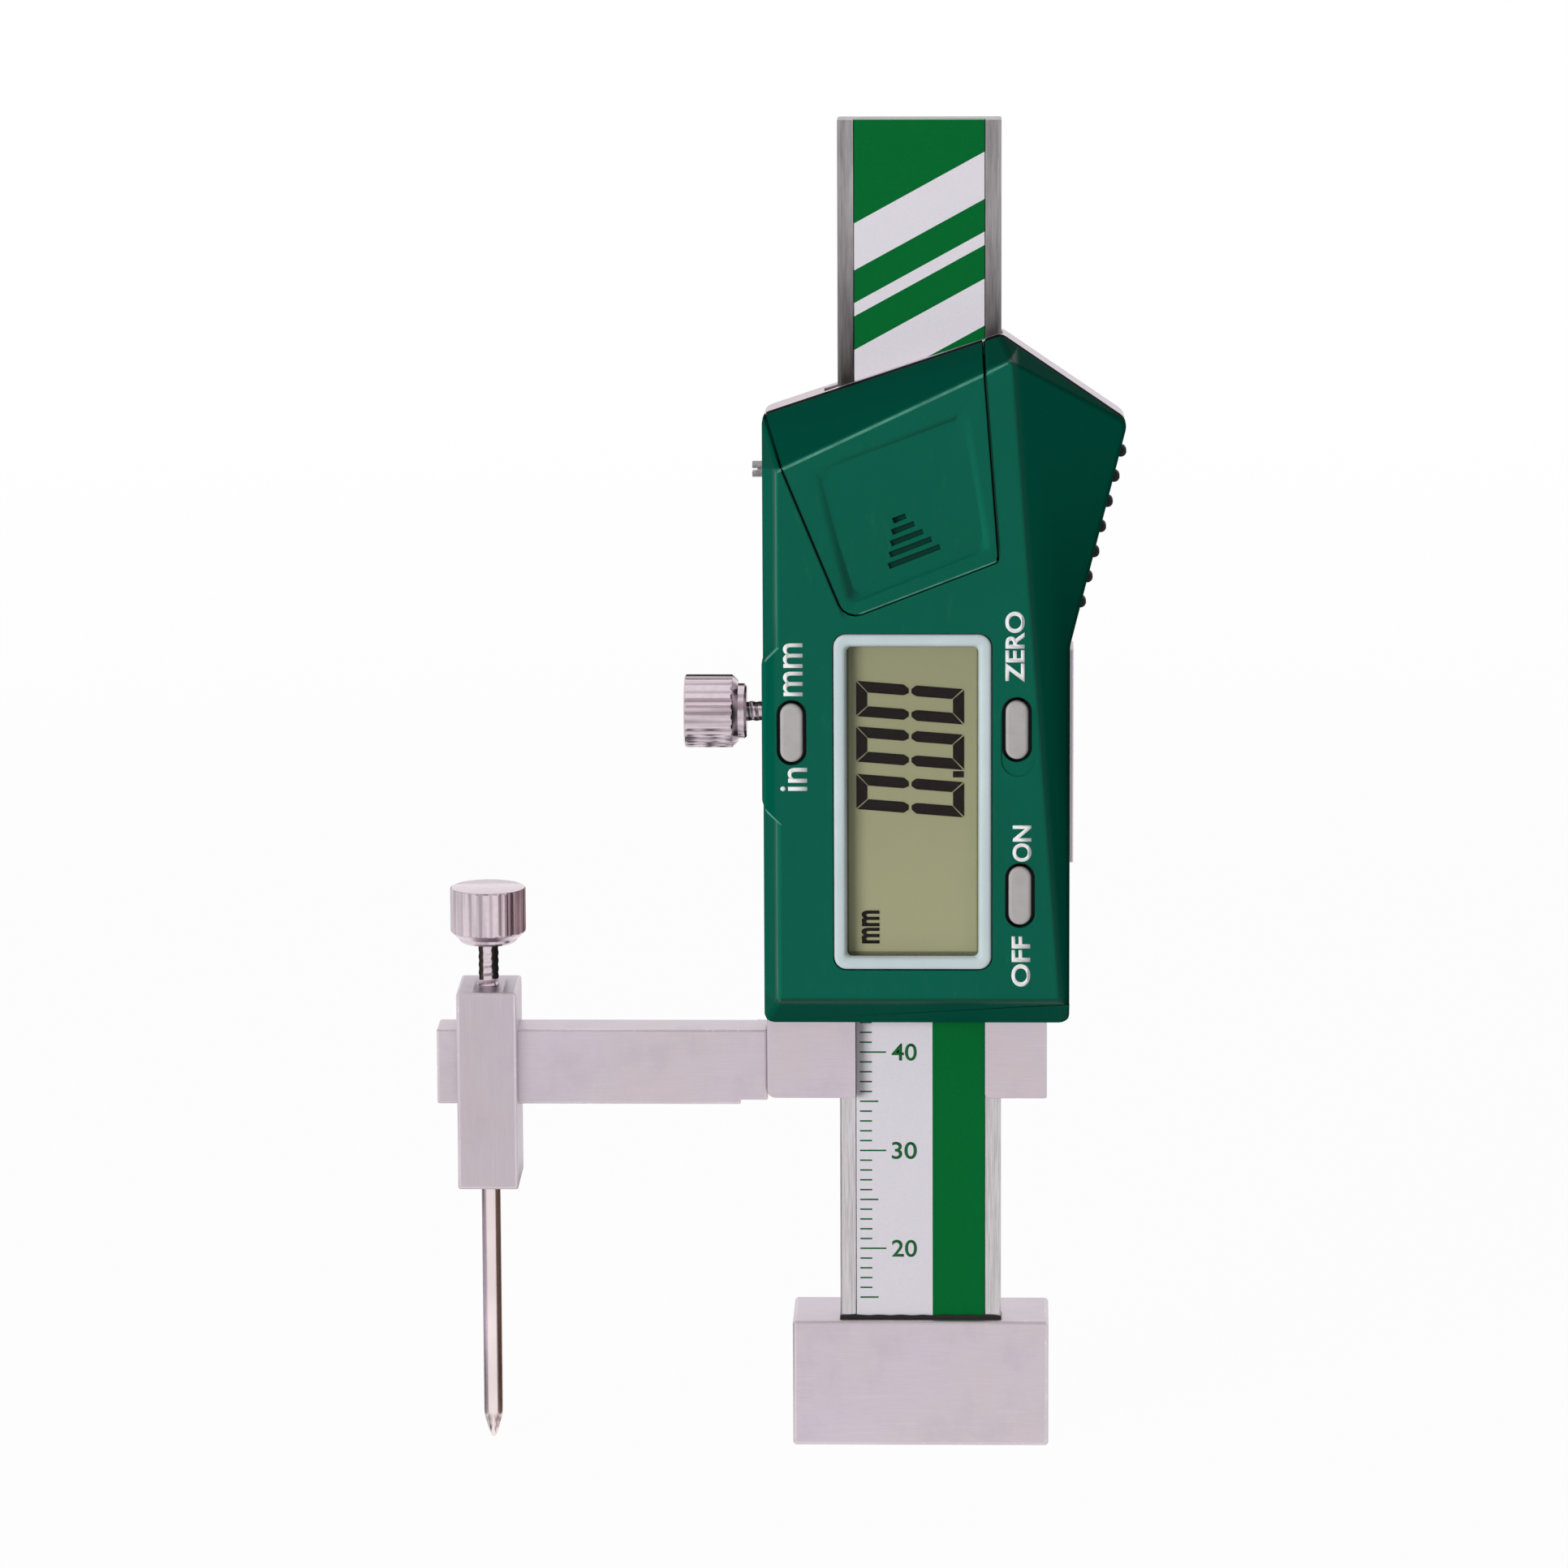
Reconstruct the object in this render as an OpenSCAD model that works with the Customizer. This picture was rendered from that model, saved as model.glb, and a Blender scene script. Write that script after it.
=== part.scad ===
// Digital height gauge. A caliper-type beam stands in a ground base block. A slider
// with a digital readout runs on the beam and carries an arm, and a clamp block on the
// arm holds the measuring needle. X runs to the right, Y to the back and Z up. The
// origin lies on the beam's centre line, on the underside of the base, and the needle's
// tip touches Z = 0 when the readout shows zero.

/* [Beam] */
// Width of the beam
beam_w = 16; // [15:0.5:17]
// Thickness of the beam
beam_t = 3.5; // [3.2:0.1:4]
// Height of the beam's top above the surface plate
beam_top = 132.6; // [132:0.5:150]
// Chamfer along the beam's long edges
beam_chamfer = 0.25; // [0.1:0.05:0.4]
// Bare margin on each side of the scale
scale_margin = 1.6; // [1.4:0.1:2.2]
// Depth of the milled recess that holds the scale
scale_recess = 1; // [0.95:0.05:1.3]
// Thickness of the capacitive scale board
scale_board_t = 0.8; // [0.6:0.05:0.8]
// Thickness of the printed label on the scale board
scale_label_t = 0.15; // [0.1:0.05:0.15]

/* [Base] */
// Width of the base block
base_w = 25.5; // [24:0.5:40]
// Depth of the base block, front to back
base_d = 10.1; // [9:0.1:20]
// Height of the base block
base_h = 12.8; // [11:0.1:14]
// Metal in front of the beam
base_front_wall = 1; // [0.8:0.1:2]
// Metal left under the beam's seat
base_floor = 3.3; // [2.5:0.1:4.5]
// Chamfer on the base block's edges
base_chamfer = 0.25; // [0.1:0.05:0.5]
// Gap in front of the beam that the black seal fills
seal_gap = 0.3; // [0.2:0.05:0.5]
// Height of the seal above the base block
seal_h = 0.45; // [0.3:0.05:1]
// Distance between the two base screws
base_screw_pitch = 9; // [8:0.5:11]
// Thread diameter of the base screws
base_screw_d = 2.5; // [2:0.5:3]

/* [Needle and clamp] */
// Length of the needle below the clamp block
needle_reach = 26.4; // [24:0.1:30]
// Diameter of the needle
needle_d = 1.9; // [1.5:0.1:2.5]
// Length of the needle's cone
needle_cone = 2.4; // [1.5:0.1:4]
// Radius of the needle's rounded tip
needle_tip_r = 0.3; // [0.2:0.05:0.5]
// Length of the needle inside the clamp block
needle_seat = 6; // [4:0.5:7]
// Distance of the needle from the beam's centre line
needle_x = 42.9; // [40:0.1:45]
// Width of the clamp block
clamp_w = 6; // [5:0.1:8]
// Wall of the clamp block in front of and behind the arm
clamp_wall = 2; // [1.5:0.1:3]
// Height of the clamp block below the arm
clamp_foot = 8.3; // [7.6:0.1:10]
// Height of the clamp block above the arm
clamp_head = 4.1; // [3:0.1:6]
// Chamfer on the clamp block's edges
clamp_chamfer = 0.2; // [0.1:0.05:0.3]
// Travel of the clamp block towards the arm's free end
clamp_travel_out = 3.6; // [2:0.1:4]

/* [Arm] */
// Height of the arm
arm_h = 7.6; // [7:0.1:8]
// Thickness of the arm
arm_t = 4.8; // [4:0.1:5]
// Distance of the arm's free end from the beam's centre line
arm_reach = 48; // [47:0.1:60]
// Distance of the arm's middle plane behind the beam's middle plane
arm_offset = 0.5; // [0.3:0.1:0.8]
// Length of the relief under the arm, next to the slider
arm_relief_l = 2.7; // [2:0.1:4]
// Depth of the relief under the arm
arm_relief = 0.45; // [0.2:0.05:0.9]
// Thread diameter of the arm screws
arm_screw_d = 2; // [1.6:0.2:2]

/* [Slider frame] */
// Thickness of the frame in front of the beam
frame_front_t = 1.4; // [1.2:0.1:2]
// Thickness of the back plate
back_plate_t = 1.2; // [0.8:0.1:1.5]
// Running clearance around the beam
slide_gap = 0.1; // [0.05:0.01:0.15]
// Side clearance between the beam and the frame
side_gap = 0.05; // [0.03:0.01:0.1]
// Thickness of the gib strip
gib_t = 1.2; // [0.8:0.1:1.4]
// Height of the frame's lugs below the housing
lug_h = 8.2; // [7.9:0.1:12]
// Rise of the lugs' underside above the arm's underside
lug_rise = 0.95; // [0.5:0.05:1.5]
// Distance of the right lug's end from the beam's centre line
lug_right = 12.55; // [11:0.1:14]
// Corner radius of the lugs
lug_r = 0.8; // [0.3:0.1:1.5]
// Step of the frame's right edge beyond the housing
frame_step = 0.4; // [0.2:0.1:0.8]
// Thread diameter of the four back screws
back_screw_d = 2; // [1.6:0.2:2]

/* [Screws and knobs] */
// Diameter of the lock screw's knurled head
lock_knob_d = 7.2; // [6:0.1:9]
// Diameter of the clamp screw's knurled head
clamp_knob_d = 7.5; // [6:0.1:8]
// Length of the lock screw's knurled head
lock_knob_l = 5; // [4:0.1:6]
// Length of the clamp screw's knurled head
clamp_knob_l = 4.4; // [4:0.1:6]
// Length of the smooth collar under a knurled head
knob_collar_l = 1.1; // [0.8:0.1:2]
// Step from the knurled head down to its collar
knob_collar_step = 0.65; // [0.4:0.05:1]
// Number of flutes in the knurling
knob_flutes = 20; // [16:1:24]
// Radius of each flute
knob_flute_r = 0.32; // [0.2:0.02:0.4]
// Thread diameter of both thumb screws
thumb_screw_d = 2; // [1.6:0.2:2.5]
// Bare thread between the lock screw's head and the frame
lock_screw_out = 1.9; // [1.2:0.1:3]
// Bare thread between the clamp screw's head and the clamp block
clamp_screw_out = 4.4; // [2:0.1:5]
// Height of the lock screw above the housing's underside
lock_screw_h = 30.2; // [29:0.1:31]
// Diameter of the gib set screws
gib_screw_d = 1.6; // [1.4:0.1:2]
// Length of the upper gib screw outside the frame
gib_screw_out = 1.2; // [0.5:0.1:1.5]
// Height of the upper gib screw above the housing's underside
gib_screw_high = 54.3; // [50:0.1:56]
// Height of the lower gib screw above the housing's underside
gib_screw_low = 10; // [8:0.1:14]

/* [Housing] */
// Distance of the housing's front face from the frame's front
housing_t = 9; // [8.6:0.1:11]
// Depth of the straight side wall behind the bevel
housing_skirt = 2.6; // [2.4:0.1:4]
// Wall thickness
wall = 1.2; // [1:0.1:1.4]
// Distance of the left edge from the beam's centre line
housing_left = 15.3; // [15.1:0.1:17]
// Distance of the right edge from the beam's centre line
housing_right = 14.7; // [14.5:0.1:16]
// Height of the left shoulder above the underside
shoulder_h = 60.3; // [58:0.1:62]
// Height of the apex above the underside
apex_h = 68.1; // [67:0.1:69]
// Distance of the apex to the right of the beam's centre line
apex_x = 8; // [7.5:0.1:9]
// Height of the thumb nose above the underside
nose_h = 59.7; // [57:0.1:61]
// Distance of the thumb nose from the beam's centre line
nose_x = 20.3; // [19:0.1:22]
// Height of the waist below the thumb nose
waist_h = 38.3; // [37:0.1:40]
// Width of the bevel along the left edge
bevel_left = 1.6; // [1.3:0.1:1.8]
// Width of the bevel along the bottom edge
bevel_bottom = 3.6; // [2:0.1:4]
// Drop of the front face below the shoulder
bevel_shoulder = 4.5; // [3:0.1:6]
// Drop of the front face below the apex
bevel_apex = 1.6; // [1.2:0.1:3]
// Depth of the bevel left on the rib beside the lock screw
rib_bevel = 0.3; // [0.2:0.05:0.5]

/* [Thumb grip] */
// Number of ribs on the thumb grip
grip_ribs = 7; // [5:1:7]
// Distance between the ribs
grip_pitch = 2.56; // [2.2:0.02:2.6]
// Diameter of a rib
grip_rib_d = 1.1; // [0.8:0.1:1.4]
// Thickness of the grip's strip
grip_strip_t = 0.7; // [0.5:0.05:0.8]

/* [Display] */
// Width of the display bezel
bezel_w = 15.5; // [15:0.1:15.8]
// Height of the display bezel
bezel_h = 33.3; // [31:0.1:33.5]
// Width of the bezel's visible border
bezel_border = 1.35; // [1:0.05:1.6]
// Height of the bezel's middle above the housing's underside
bezel_mid_h = 23.3; // [23:0.1:23.4]
// Shift of the bezel's middle from the beam's centre line
bezel_mid_x = -0.6; // [-0.8:0.1:0]
// Height of the bezel's border above the front face
bezel_proud = 0.15; // [0:0.05:0.3]
// Thickness of the clear window
window_t = 0.8; // [0.5:0.1:0.8]
// Thickness of the liquid crystal glass
lcd_t = 1.8; // [1.4:0.1:2.2]

/* [Buttons] */
// Width of a button
button_w = 2.2; // [1.8:0.1:2.4]
// Length of a button
button_l = 5.75; // [5:0.05:6]
// Gap between a button and its hole
button_gap = 0.35; // [0.2:0.05:0.4]
// Height of a button above the front face
button_proud = 0.35; // [0.3:0.05:0.6]
// Travel of a button
button_travel = 0.6; // [0.4:0.1:0.8]

/* [Battery] */
// Diameter of the button cell
cell_d = 11.6; // [11:0.1:11.8]
// Thickness of the button cell
cell_t = 5.4; // [4.8:0.1:5.4]
// Tilt of the battery cover's slide from the vertical
cover_tilt = 21; // [18:0.5:22]
// Gap around the battery cover
cover_gap = 0.12; // [0.08:0.01:0.2]

/* [Hidden] */
$fn = 64;
eps = 0.01;
fit_gap = 0.02;
thread_gap = 0.05;

// Planes of the beam and of the slider, from front to back
beam_front = -beam_t / 2;
beam_back = beam_t / 2;
base_front = beam_front - base_front_wall;
frame_channel = beam_front - slide_gap;
frame_front = frame_channel - frame_front_t;
frame_back = beam_back + slide_gap;
plate_back = frame_back + back_plate_t;
face = frame_front - housing_t;
face_inner = face + wall;
skirt_front = frame_front - housing_skirt;

// Heights, all carried by the needle, whose tip touches the surface plate
arm_z = needle_reach + clamp_foot;
clamp_top = arm_z + arm_h + clamp_head;
frame_z = arm_z + lug_rise;
house_z = frame_z + lug_h;
shoulder_z = house_z + shoulder_h;
apex_z = house_z + apex_h;
nose_z = house_z + nose_h;
waist_z = house_z + waist_h;
lock_z = house_z + lock_screw_h;

// Scale
scale_half = beam_w / 2 - scale_margin;
scale_floor = beam_front + scale_recess;
scale_face = scale_floor - scale_board_t - scale_label_t;
scale_z = base_h + 0.1;
scale_side_gap = 0.05;

// Base screws and travel stop
base_screw_z = base_h * 0.57;
base_screw_bite = 2;
stop_screw_d = 2;
stop_head_d = 3.6;
stop_head_t = 1.1;
stop_x = -3;
stop_z = beam_top - stop_head_d / 2 - 0.6;

// Arm
arm_front = arm_offset - arm_t / 2;
arm_back = arm_offset + arm_t / 2;
arm_root_x = -housing_left + 0.15;
lap = 0;
lap_end_x = -beam_w / 2 - 1.5;
arm_screw_x = (arm_root_x + lap_end_x) / 2;
arm_screw_inset = 1.9;
arm_screw_z = [frame_z + arm_screw_inset, arm_z + arm_h - arm_screw_inset];
arm_screw_bite = 2.4;

// Seal
seal_depth = 1;

// Frame
frame_inset = 0.08;
plate_inset = 0.2;
lug_left = -arm_root_x;
guide_left = beam_w / 2 + side_gap;
guide_right = beam_w / 2 + side_gap;
gib_slot = guide_left + gib_t + side_gap;
gib_low_h = 4;
gib_high_h = 58;
gib_z = [house_z + gib_low_h, house_z + gib_high_h];
frame_step_low_h = 15.6;
frame_step_high_h = 36.9;
frame_step_z = [house_z + frame_step_low_h, house_z + frame_step_high_h];
sensor_low_h = 7;
sensor_high_h = 39.5;
sensor_z = [house_z + sensor_low_h, house_z + sensor_high_h];
sensor_half = scale_half - 0.2;
throat_h = 3;
throat_top = house_z + throat_h;

// Back screws, through the back plate and the frame into bosses of the housing
screw_low_left_x = 11.9;
screw_low_right_x = 11;
screw_low_h = 5.5;
screw_side_x = 11.6;
screw_side_h = 43.5;
screw_nose_x = 13.6;
screw_nose_h = 51.8;
back_screws = [
    [-screw_low_left_x, house_z + screw_low_h],
    [-screw_side_x, house_z + screw_side_h],
    [screw_low_right_x, house_z + screw_low_h],
    [screw_nose_x, house_z + screw_nose_h],
];
boss_d = 3.8;
back_screw_bite = 3.5;

// Display
bezel_r = 1.3;
bezel_z = house_z + bezel_mid_h;
bezel_flange = 0.55;
bezel_flange_t = 0.6;
window_w = bezel_w - 2 * bezel_border;
window_h = bezel_h - 2 * bezel_border;
window_front = face + 0.45;
window_rebate = 0.35;
bezel_slope_w = 0.45;
bezel_slope_depth = 0.35;
window_back = window_front + window_t;
lcd_front = face_inner + bezel_flange_t;
lcd_back = lcd_front + lcd_t;
lcd_w = window_w + 0.8;
lcd_h = window_h + 0.9;

// Circuit board, on the frame's front, with the sensor block in the frame's window
board_t = 1;
board_front = frame_front - board_t;
board_low_h = 2;
board_high_h = 40.4;
board_z = [house_z + board_low_h, house_z + board_high_h];
board_gap = 0.3;
sensor_clear = 0.2;
strip_w = 1.6;
strip_l = 28;

// Middles of the buttons
unit_x = 12.35;
zero_x = 9.55;
zero_drop = 9.45;
power_x = 9.85;
power_rise = 7.45;
unit_at = [-unit_x, lock_z];
zero_at = [zero_x, bezel_z + bezel_h / 2 - zero_drop];
power_at = [power_x, bezel_z - bezel_h / 2 + power_rise];
button_flange = 0.5;
button_flange_t = 0.8;
plunger_d = 2;
dome_d = 3.2;
dome_t = 1.2;
button_spare = 0.1;
zero_ring_w = 0.4;
zero_ring_l = 1.2;
zero_ring_drop = 0.8;
zero_ring_depth = 0.15;

// Battery
cell_x = -0.8;
cell_h = 52.2;
cell_at = [cell_x, house_z + cell_h];
cell_front = face_inner + 0.5;
cell_back = cell_front + cell_t;
tub_floor_t = 0.8;
tub_floor_front = cell_back + 0.3;
tub_floor_back = tub_floor_front + tub_floor_t;
tub_wall = 0.8;
tub_gap = 0.2;
tub_h = 40.6;
tub_z = house_z + tub_h;
contact_t = 0.2;
cover_slide = [-sin(cover_tilt), cos(cover_tilt)];
cover_across = [cos(cover_tilt), sin(cover_tilt)];

// Outline of the housing, as [x, z] points, counter-clockwise seen from the front
house_outline = [
    [-housing_left, house_z],
    [housing_right, house_z],
    [housing_right, waist_z],
    [nose_x, nose_z],
    [apex_x, apex_z],
    [-housing_left, shoulder_z],
];
house_radii = [1, 1, 3, 1.2, 1, 0.9];

// Corners of the flat front face, and where the bevels reach the side walls
face_left = -housing_left + bevel_left;
face_low_left = [face_left, face, house_z + bevel_bottom];
face_low_right = [housing_right - 1.1, face, house_z + bevel_bottom];
face_apex = [apex_x + 1, face, apex_z - bevel_apex];
face_shoulder = [face_left, face, shoulder_z - bevel_shoulder];
side_low_left = [-housing_left, skirt_front, house_z];
side_nose = [nose_x, skirt_front, nose_z];
side_apex = [apex_x, skirt_front, apex_z];
side_shoulder = [-housing_left, skirt_front, shoulder_z];

// The rib that fills the left bevel beside the lock screw
rib_low = 9.6;
rib_high = 9;
rib_in = 2.2;
rib_slope = 3.2;
side_rib = [
    [-housing_left + rib_in - rib_slope, lock_z - rib_low + rib_slope],
    [-housing_left + rib_in, lock_z - rib_low],
    [-housing_left + rib_in, lock_z + rib_high],
    [-housing_left + rib_in - rib_slope, lock_z + rib_high - rib_slope],
];

// Heights of the outline's and of the front face's upper left edge at x
function outline_top(x) =
    shoulder_z + (apex_z - shoulder_z) * (x + housing_left) / (apex_x + housing_left);
function face_top(x) =
    face_shoulder[2]
    + (face_apex[2] - face_shoulder[2]) * (x - face_left) / (face_apex[0] - face_left);

// Seam of the battery cover: lower left, lower right, upper right and upper left
seam_left_x = 7.1;
seam_left_h = 41.1;
seam_right_x = 7.85;
seam_right_h = 46.9;
seam_apex_in = 2;
seam_over = 2.5;
seam_side = 0.8;
cover_seam = [
    [-seam_left_x, house_z + seam_left_h],
    [seam_right_x, house_z + seam_right_h],
    [apex_x - seam_apex_in, apex_z + seam_over],
    [-housing_left - seam_side, shoulder_z + seam_over],
];
cover_radii = [1.8, 0.6, 0.1, 0.1];
hook_x = [-8.2, 2.07];
hook_w = 2.4;
hook_l = 3.5;
hook_drop = 0.3;

// Rim of the cover's thumb recess, and its floor, each as lower left, lower right,
// upper right and upper left
pad_low_left = [0.3, 1.6];
pad_low_right = [0.95, 1.3];
pad_top_right_x = 4.6;
pad_top_right_drop = 2.8;
pad_top_left_x = 10;
pad_top_left_drop = 1.55;
pad = [
    cover_seam[0] + pad_low_left,
    cover_seam[1] + [-pad_low_right[0], pad_low_right[1]],
    [pad_top_right_x, face_top(pad_top_right_x) - pad_top_right_drop],
    [-pad_top_left_x, face_top(-pad_top_left_x) - pad_top_left_drop],
];
pad_radii = [0.8, 0.8, 0.8, 0.8];
pad_slopes = [[0.8, 0.35], [-0.5, 0.1], [-1.2, -1.3], [1.5, -1]];
pad_depth = [0.25, 0.55];

function unit(v) = v / norm(v);
function normal_of(a, b) = let (d = unit(b - a)) [-d[1], d[0]];
function before(points, i) = points[(i + len(points) - 1) % len(points)];
function after(points, i) = points[(i + 1) % len(points)];

// The outline moved inwards by d
function inset(points, d) = [
    for (i = [0 : len(points) - 1])
        let (
            n1 = normal_of(before(points, i), points[i]),
            n2 = normal_of(points[i], after(points, i))
        )
        points[i] + d * (n1 + n2) / (1 + n1 * n2)
];

// The arc that rounds one corner, between the inward normals n1 and n2 of its sides
function corner_arc(corner, n1, n2, r, steps) =
    let (
        turn = atan2(cross(n1, n2), n1 * n2),
        side = turn >= 0 ? 1 : -1,
        start = atan2(n1[1], n1[0]),
        centre = corner + side * r * (n1 + n2) / (1 + n1 * n2)
    )
    [
        for (k = [0 : steps])
            let (a = start + turn * k / steps)
            centre - side * r * [cos(a), sin(a)]
    ];

// The outline with each corner rounded to its own radius
function rounded(points, radii, steps = 4) = [
    for (i = [0 : len(points) - 1])
        let (
            n1 = normal_of(before(points, i), points[i]),
            n2 = normal_of(points[i], after(points, i))
        )
        each corner_arc(points[i], n1, n2, radii[i], steps)
];

// Everything behind the plane through a, b and c, moved back by shrink. The plane faces
// the viewer who sees a, b and c counter-clockwise.
module behind(a, b, c, shrink = 0) {
    reach = 200;
    u = unit(b - a);
    n = unit(cross(b - a, c - a));
    v = cross(n, u);
    p = a - n * shrink;
    multmatrix([
        [u[0], v[0], n[0], p[0]],
        [u[1], v[1], n[1], p[1]],
        [u[2], v[2], n[2], p[2]],
        [0, 0, 0, 1],
    ])
        translate([-reach, -reach, -2 * reach]) cube(2 * reach);
}

// A flat plate with the outline in X and Z, between two Y planes
module plate(y0, y1) {
    translate([0, y1, 0]) rotate([90, 0, 0]) linear_extrude(y1 - y0) children();
}

// A box between two corners
module box(low, high) {
    translate(low) cube(high - low);
}

// A rectangle with its corners cut at 45 degrees, centred
module cut_rectangle(w, h, c) {
    polygon([
        [-w / 2 + c, -h / 2], [w / 2 - c, -h / 2],
        [w / 2, -h / 2 + c], [w / 2, h / 2 - c],
        [w / 2 - c, h / 2], [-w / 2 + c, h / 2],
        [-w / 2, h / 2 - c], [-w / 2, -h / 2 + c],
    ]);
}

// A block between two corners with every edge chamfered by c
module ground_block(low, high, c) {
    size = high - low;
    translate((low + high) / 2)
        intersection() {
            linear_extrude(size[2], center = true) cut_rectangle(size[0], size[1], c);
            rotate([90, 0, 0])
                linear_extrude(size[1], center = true)
                    cut_rectangle(size[0], size[2], c);
            rotate([90, 0, 90])
                linear_extrude(size[0], center = true)
                    cut_rectangle(size[1], size[2], c);
        }
}

// A rectangle with round corners, centred
module soft_rectangle(w, h, r) {
    polygon(rounded(
        [[-w / 2, -h / 2], [w / 2, -h / 2], [w / 2, h / 2], [-w / 2, h / 2]],
        [r, r, r, r]
    ));
}

// A stadium shape standing upright, centred
module stadium(w, l) {
    square([w, l - w], center = true);
    for (side = [-1, 1]) translate([0, side * (l - w) / 2]) circle(d = w);
}

// A cylinder along Y from y0 to y1 at [x, z]
module pin_y(at, d, y0, y1) {
    translate([at[0], y1, at[1]]) rotate([90, 0, 0]) cylinder(d = d, h = y1 - y0);
}

// A cylinder along X from x0 to x1 at height z, on the beam's middle plane
module pin_x(x0, x1, z, d) {
    translate([x0, 0, z]) rotate([0, 90, 0]) cylinder(d = d, h = x1 - x0);
}

// A countersunk screw along Z, with its head's face at 0 and its shank below
module countersunk_screw(d, l, grow = 0) {
    head_r = 0.9 * d + grow;
    shank_r = d / 2 + grow;
    cone = head_r - shank_r;
    difference() {
        rotate_extrude()
            polygon([
                [0, 0], [head_r, 0], [shank_r, -cone],
                [shank_r, -l], [0, -l],
            ]);
        if (grow == 0)
            for (a = [0, 90])
                rotate(a) translate([0, 0, -0.2 * d]) linear_extrude(d)
                    square([1.1 * d, 0.22 * d], center = true);
    }
}

// A countersunk screw driven in from the back at [x, z], with its head's face at y
module back_driven(at, y, d, l, grow = 0) {
    translate([at[0], y, at[1]])
        rotate([-90, 0, 0]) countersunk_screw(d, l, grow);
}

// A thumb screw along Z: the tip is at 0, and the knurled head lies beyond the shank
module thumb_screw(knob_d, knob_l, shank_l) {
    collar_r = knob_d / 2 - knob_collar_step;
    shank_r = thumb_screw_d / 2;
    rotate_extrude()
        polygon([
            [0, 0], [shank_r - 0.3, 0], [shank_r, 0.3],
            [shank_r, shank_l + eps], [0, shank_l + eps],
        ]);
    translate([0, 0, shank_l])
        rotate_extrude()
            polygon([
                [0, 0], [collar_r - 0.2, 0], [collar_r, 0.2],
                [collar_r, knob_collar_l + eps], [0, knob_collar_l + eps],
            ]);
    translate([0, 0, shank_l + knob_collar_l])
        intersection() {
            linear_extrude(knob_l) knurl(knob_d);
            rotate_extrude()
                polygon([
                    [0, 0], [knob_d / 2 - 0.5, 0], [knob_d / 2, 0.4],
                    [knob_d / 2, knob_l - 0.5], [knob_d / 2 - 0.5, knob_l - 0.12],
                    [knob_d / 2 - 1.2, knob_l], [0, knob_l],
                ]);
        }
}

// The knurled head's section: a circle with round flutes
module knurl(d) {
    difference() {
        circle(d = d);
        for (i = [0 : knob_flutes - 1])
            rotate(i * 360 / knob_flutes)
                translate([d / 2 + knob_flute_r * 0.35, 0])
                    circle(r = knob_flute_r, $fn = 24);
    }
}

module base_block() {
    color([0.72, 0.70, 0.72])
        difference() {
            ground_block(
                [-base_w / 2, base_front, 0],
                [base_w / 2, base_front + base_d, base_h],
                base_chamfer
            );
            box(
                [-beam_w / 2 - fit_gap, beam_front - seal_gap, base_floor],
                [beam_w / 2 + fit_gap, beam_back + fit_gap, base_h + 1]
            );
            for (x = [-1, 1] * base_screw_pitch / 2)
                back_driven(
                    [x, base_screw_z], base_front + base_d - 0.1,
                    base_screw_d, base_d - base_front_wall - beam_t, fit_gap
                );
            for (x = [-1, 1] * base_screw_pitch / 2)
                pin_y(
                    [x, base_screw_z], 1.8 * base_screw_d + 2 * fit_gap,
                    base_front + base_d - 0.1 - eps, base_front + base_d + 1
                );
        }
}

module base_screws() {
    head_y = base_front + base_d - 0.1;
    color([0.35, 0.35, 0.37])
        for (x = [-1, 1] * base_screw_pitch / 2)
            back_driven(
                [x, base_screw_z], head_y, base_screw_d,
                head_y - beam_back + base_screw_bite
            );
}

module beam_section() {
    difference() {
        cut_rectangle(beam_w, beam_t, beam_chamfer);
        translate([-scale_half, beam_front - 1])
            square([2 * scale_half, scale_recess + 1]);
    }
}

module beam() {
    color([0.66, 0.65, 0.67])
        difference() {
            translate([0, 0, base_floor])
                linear_extrude(beam_top - base_floor) beam_section();
            for (x = [-1, 1] * base_screw_pitch / 2)
                pin_y(
                    [x, base_screw_z], base_screw_d + 2 * fit_gap,
                    beam_back - base_screw_bite - fit_gap, beam_back + 1
                );
            pin_y(
                [stop_x, stop_z], stop_screw_d + 2 * fit_gap,
                beam_back - base_screw_bite, beam_back + 1
            );
        }
}

module beam_seal() {
    color([0.06, 0.06, 0.06])
        box(
            [-beam_w / 2, beam_front - seal_gap + fit_gap, base_h - seal_depth],
            [beam_w / 2, beam_front - fit_gap, base_h + seal_h]
        );
}

module scale_board() {
    color([0.10, 0.30, 0.20])
        box(
            [-scale_half + scale_side_gap, scale_floor - scale_board_t, scale_z],
            [scale_half - scale_side_gap, scale_floor, beam_top]
        );
}

module scale_label() {
    color([0.02, 0.42, 0.18])
        box(
            [-scale_half + scale_side_gap, scale_face, scale_z],
            [scale_half - scale_side_gap, scale_floor - scale_board_t, beam_top]
        );
}

module travel_stop() {
    color([0.60, 0.60, 0.62])
        difference() {
            union() {
                pin_y(
                    [stop_x, stop_z], stop_screw_d,
                    beam_back - base_screw_bite + 0.3, beam_back + eps
                );
                pin_y(
                    [stop_x, stop_z], stop_head_d,
                    beam_back, beam_back + stop_head_t
                );
            }
            box(
                [stop_x - stop_head_d, beam_back + 0.6, stop_z - 0.25],
                [stop_x + stop_head_d, beam_back + 2, stop_z + 0.25]
            );
        }
}

// The frame's outline under the housing, with the step on its right edge
module frame_shape() {
    polygon(rounded(inset(house_outline, frame_inset), house_radii));
    translate([housing_right - 2, frame_step_z[0]])
        square([2 + frame_step, frame_step_z[1] - frame_step_z[0]]);
}

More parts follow.
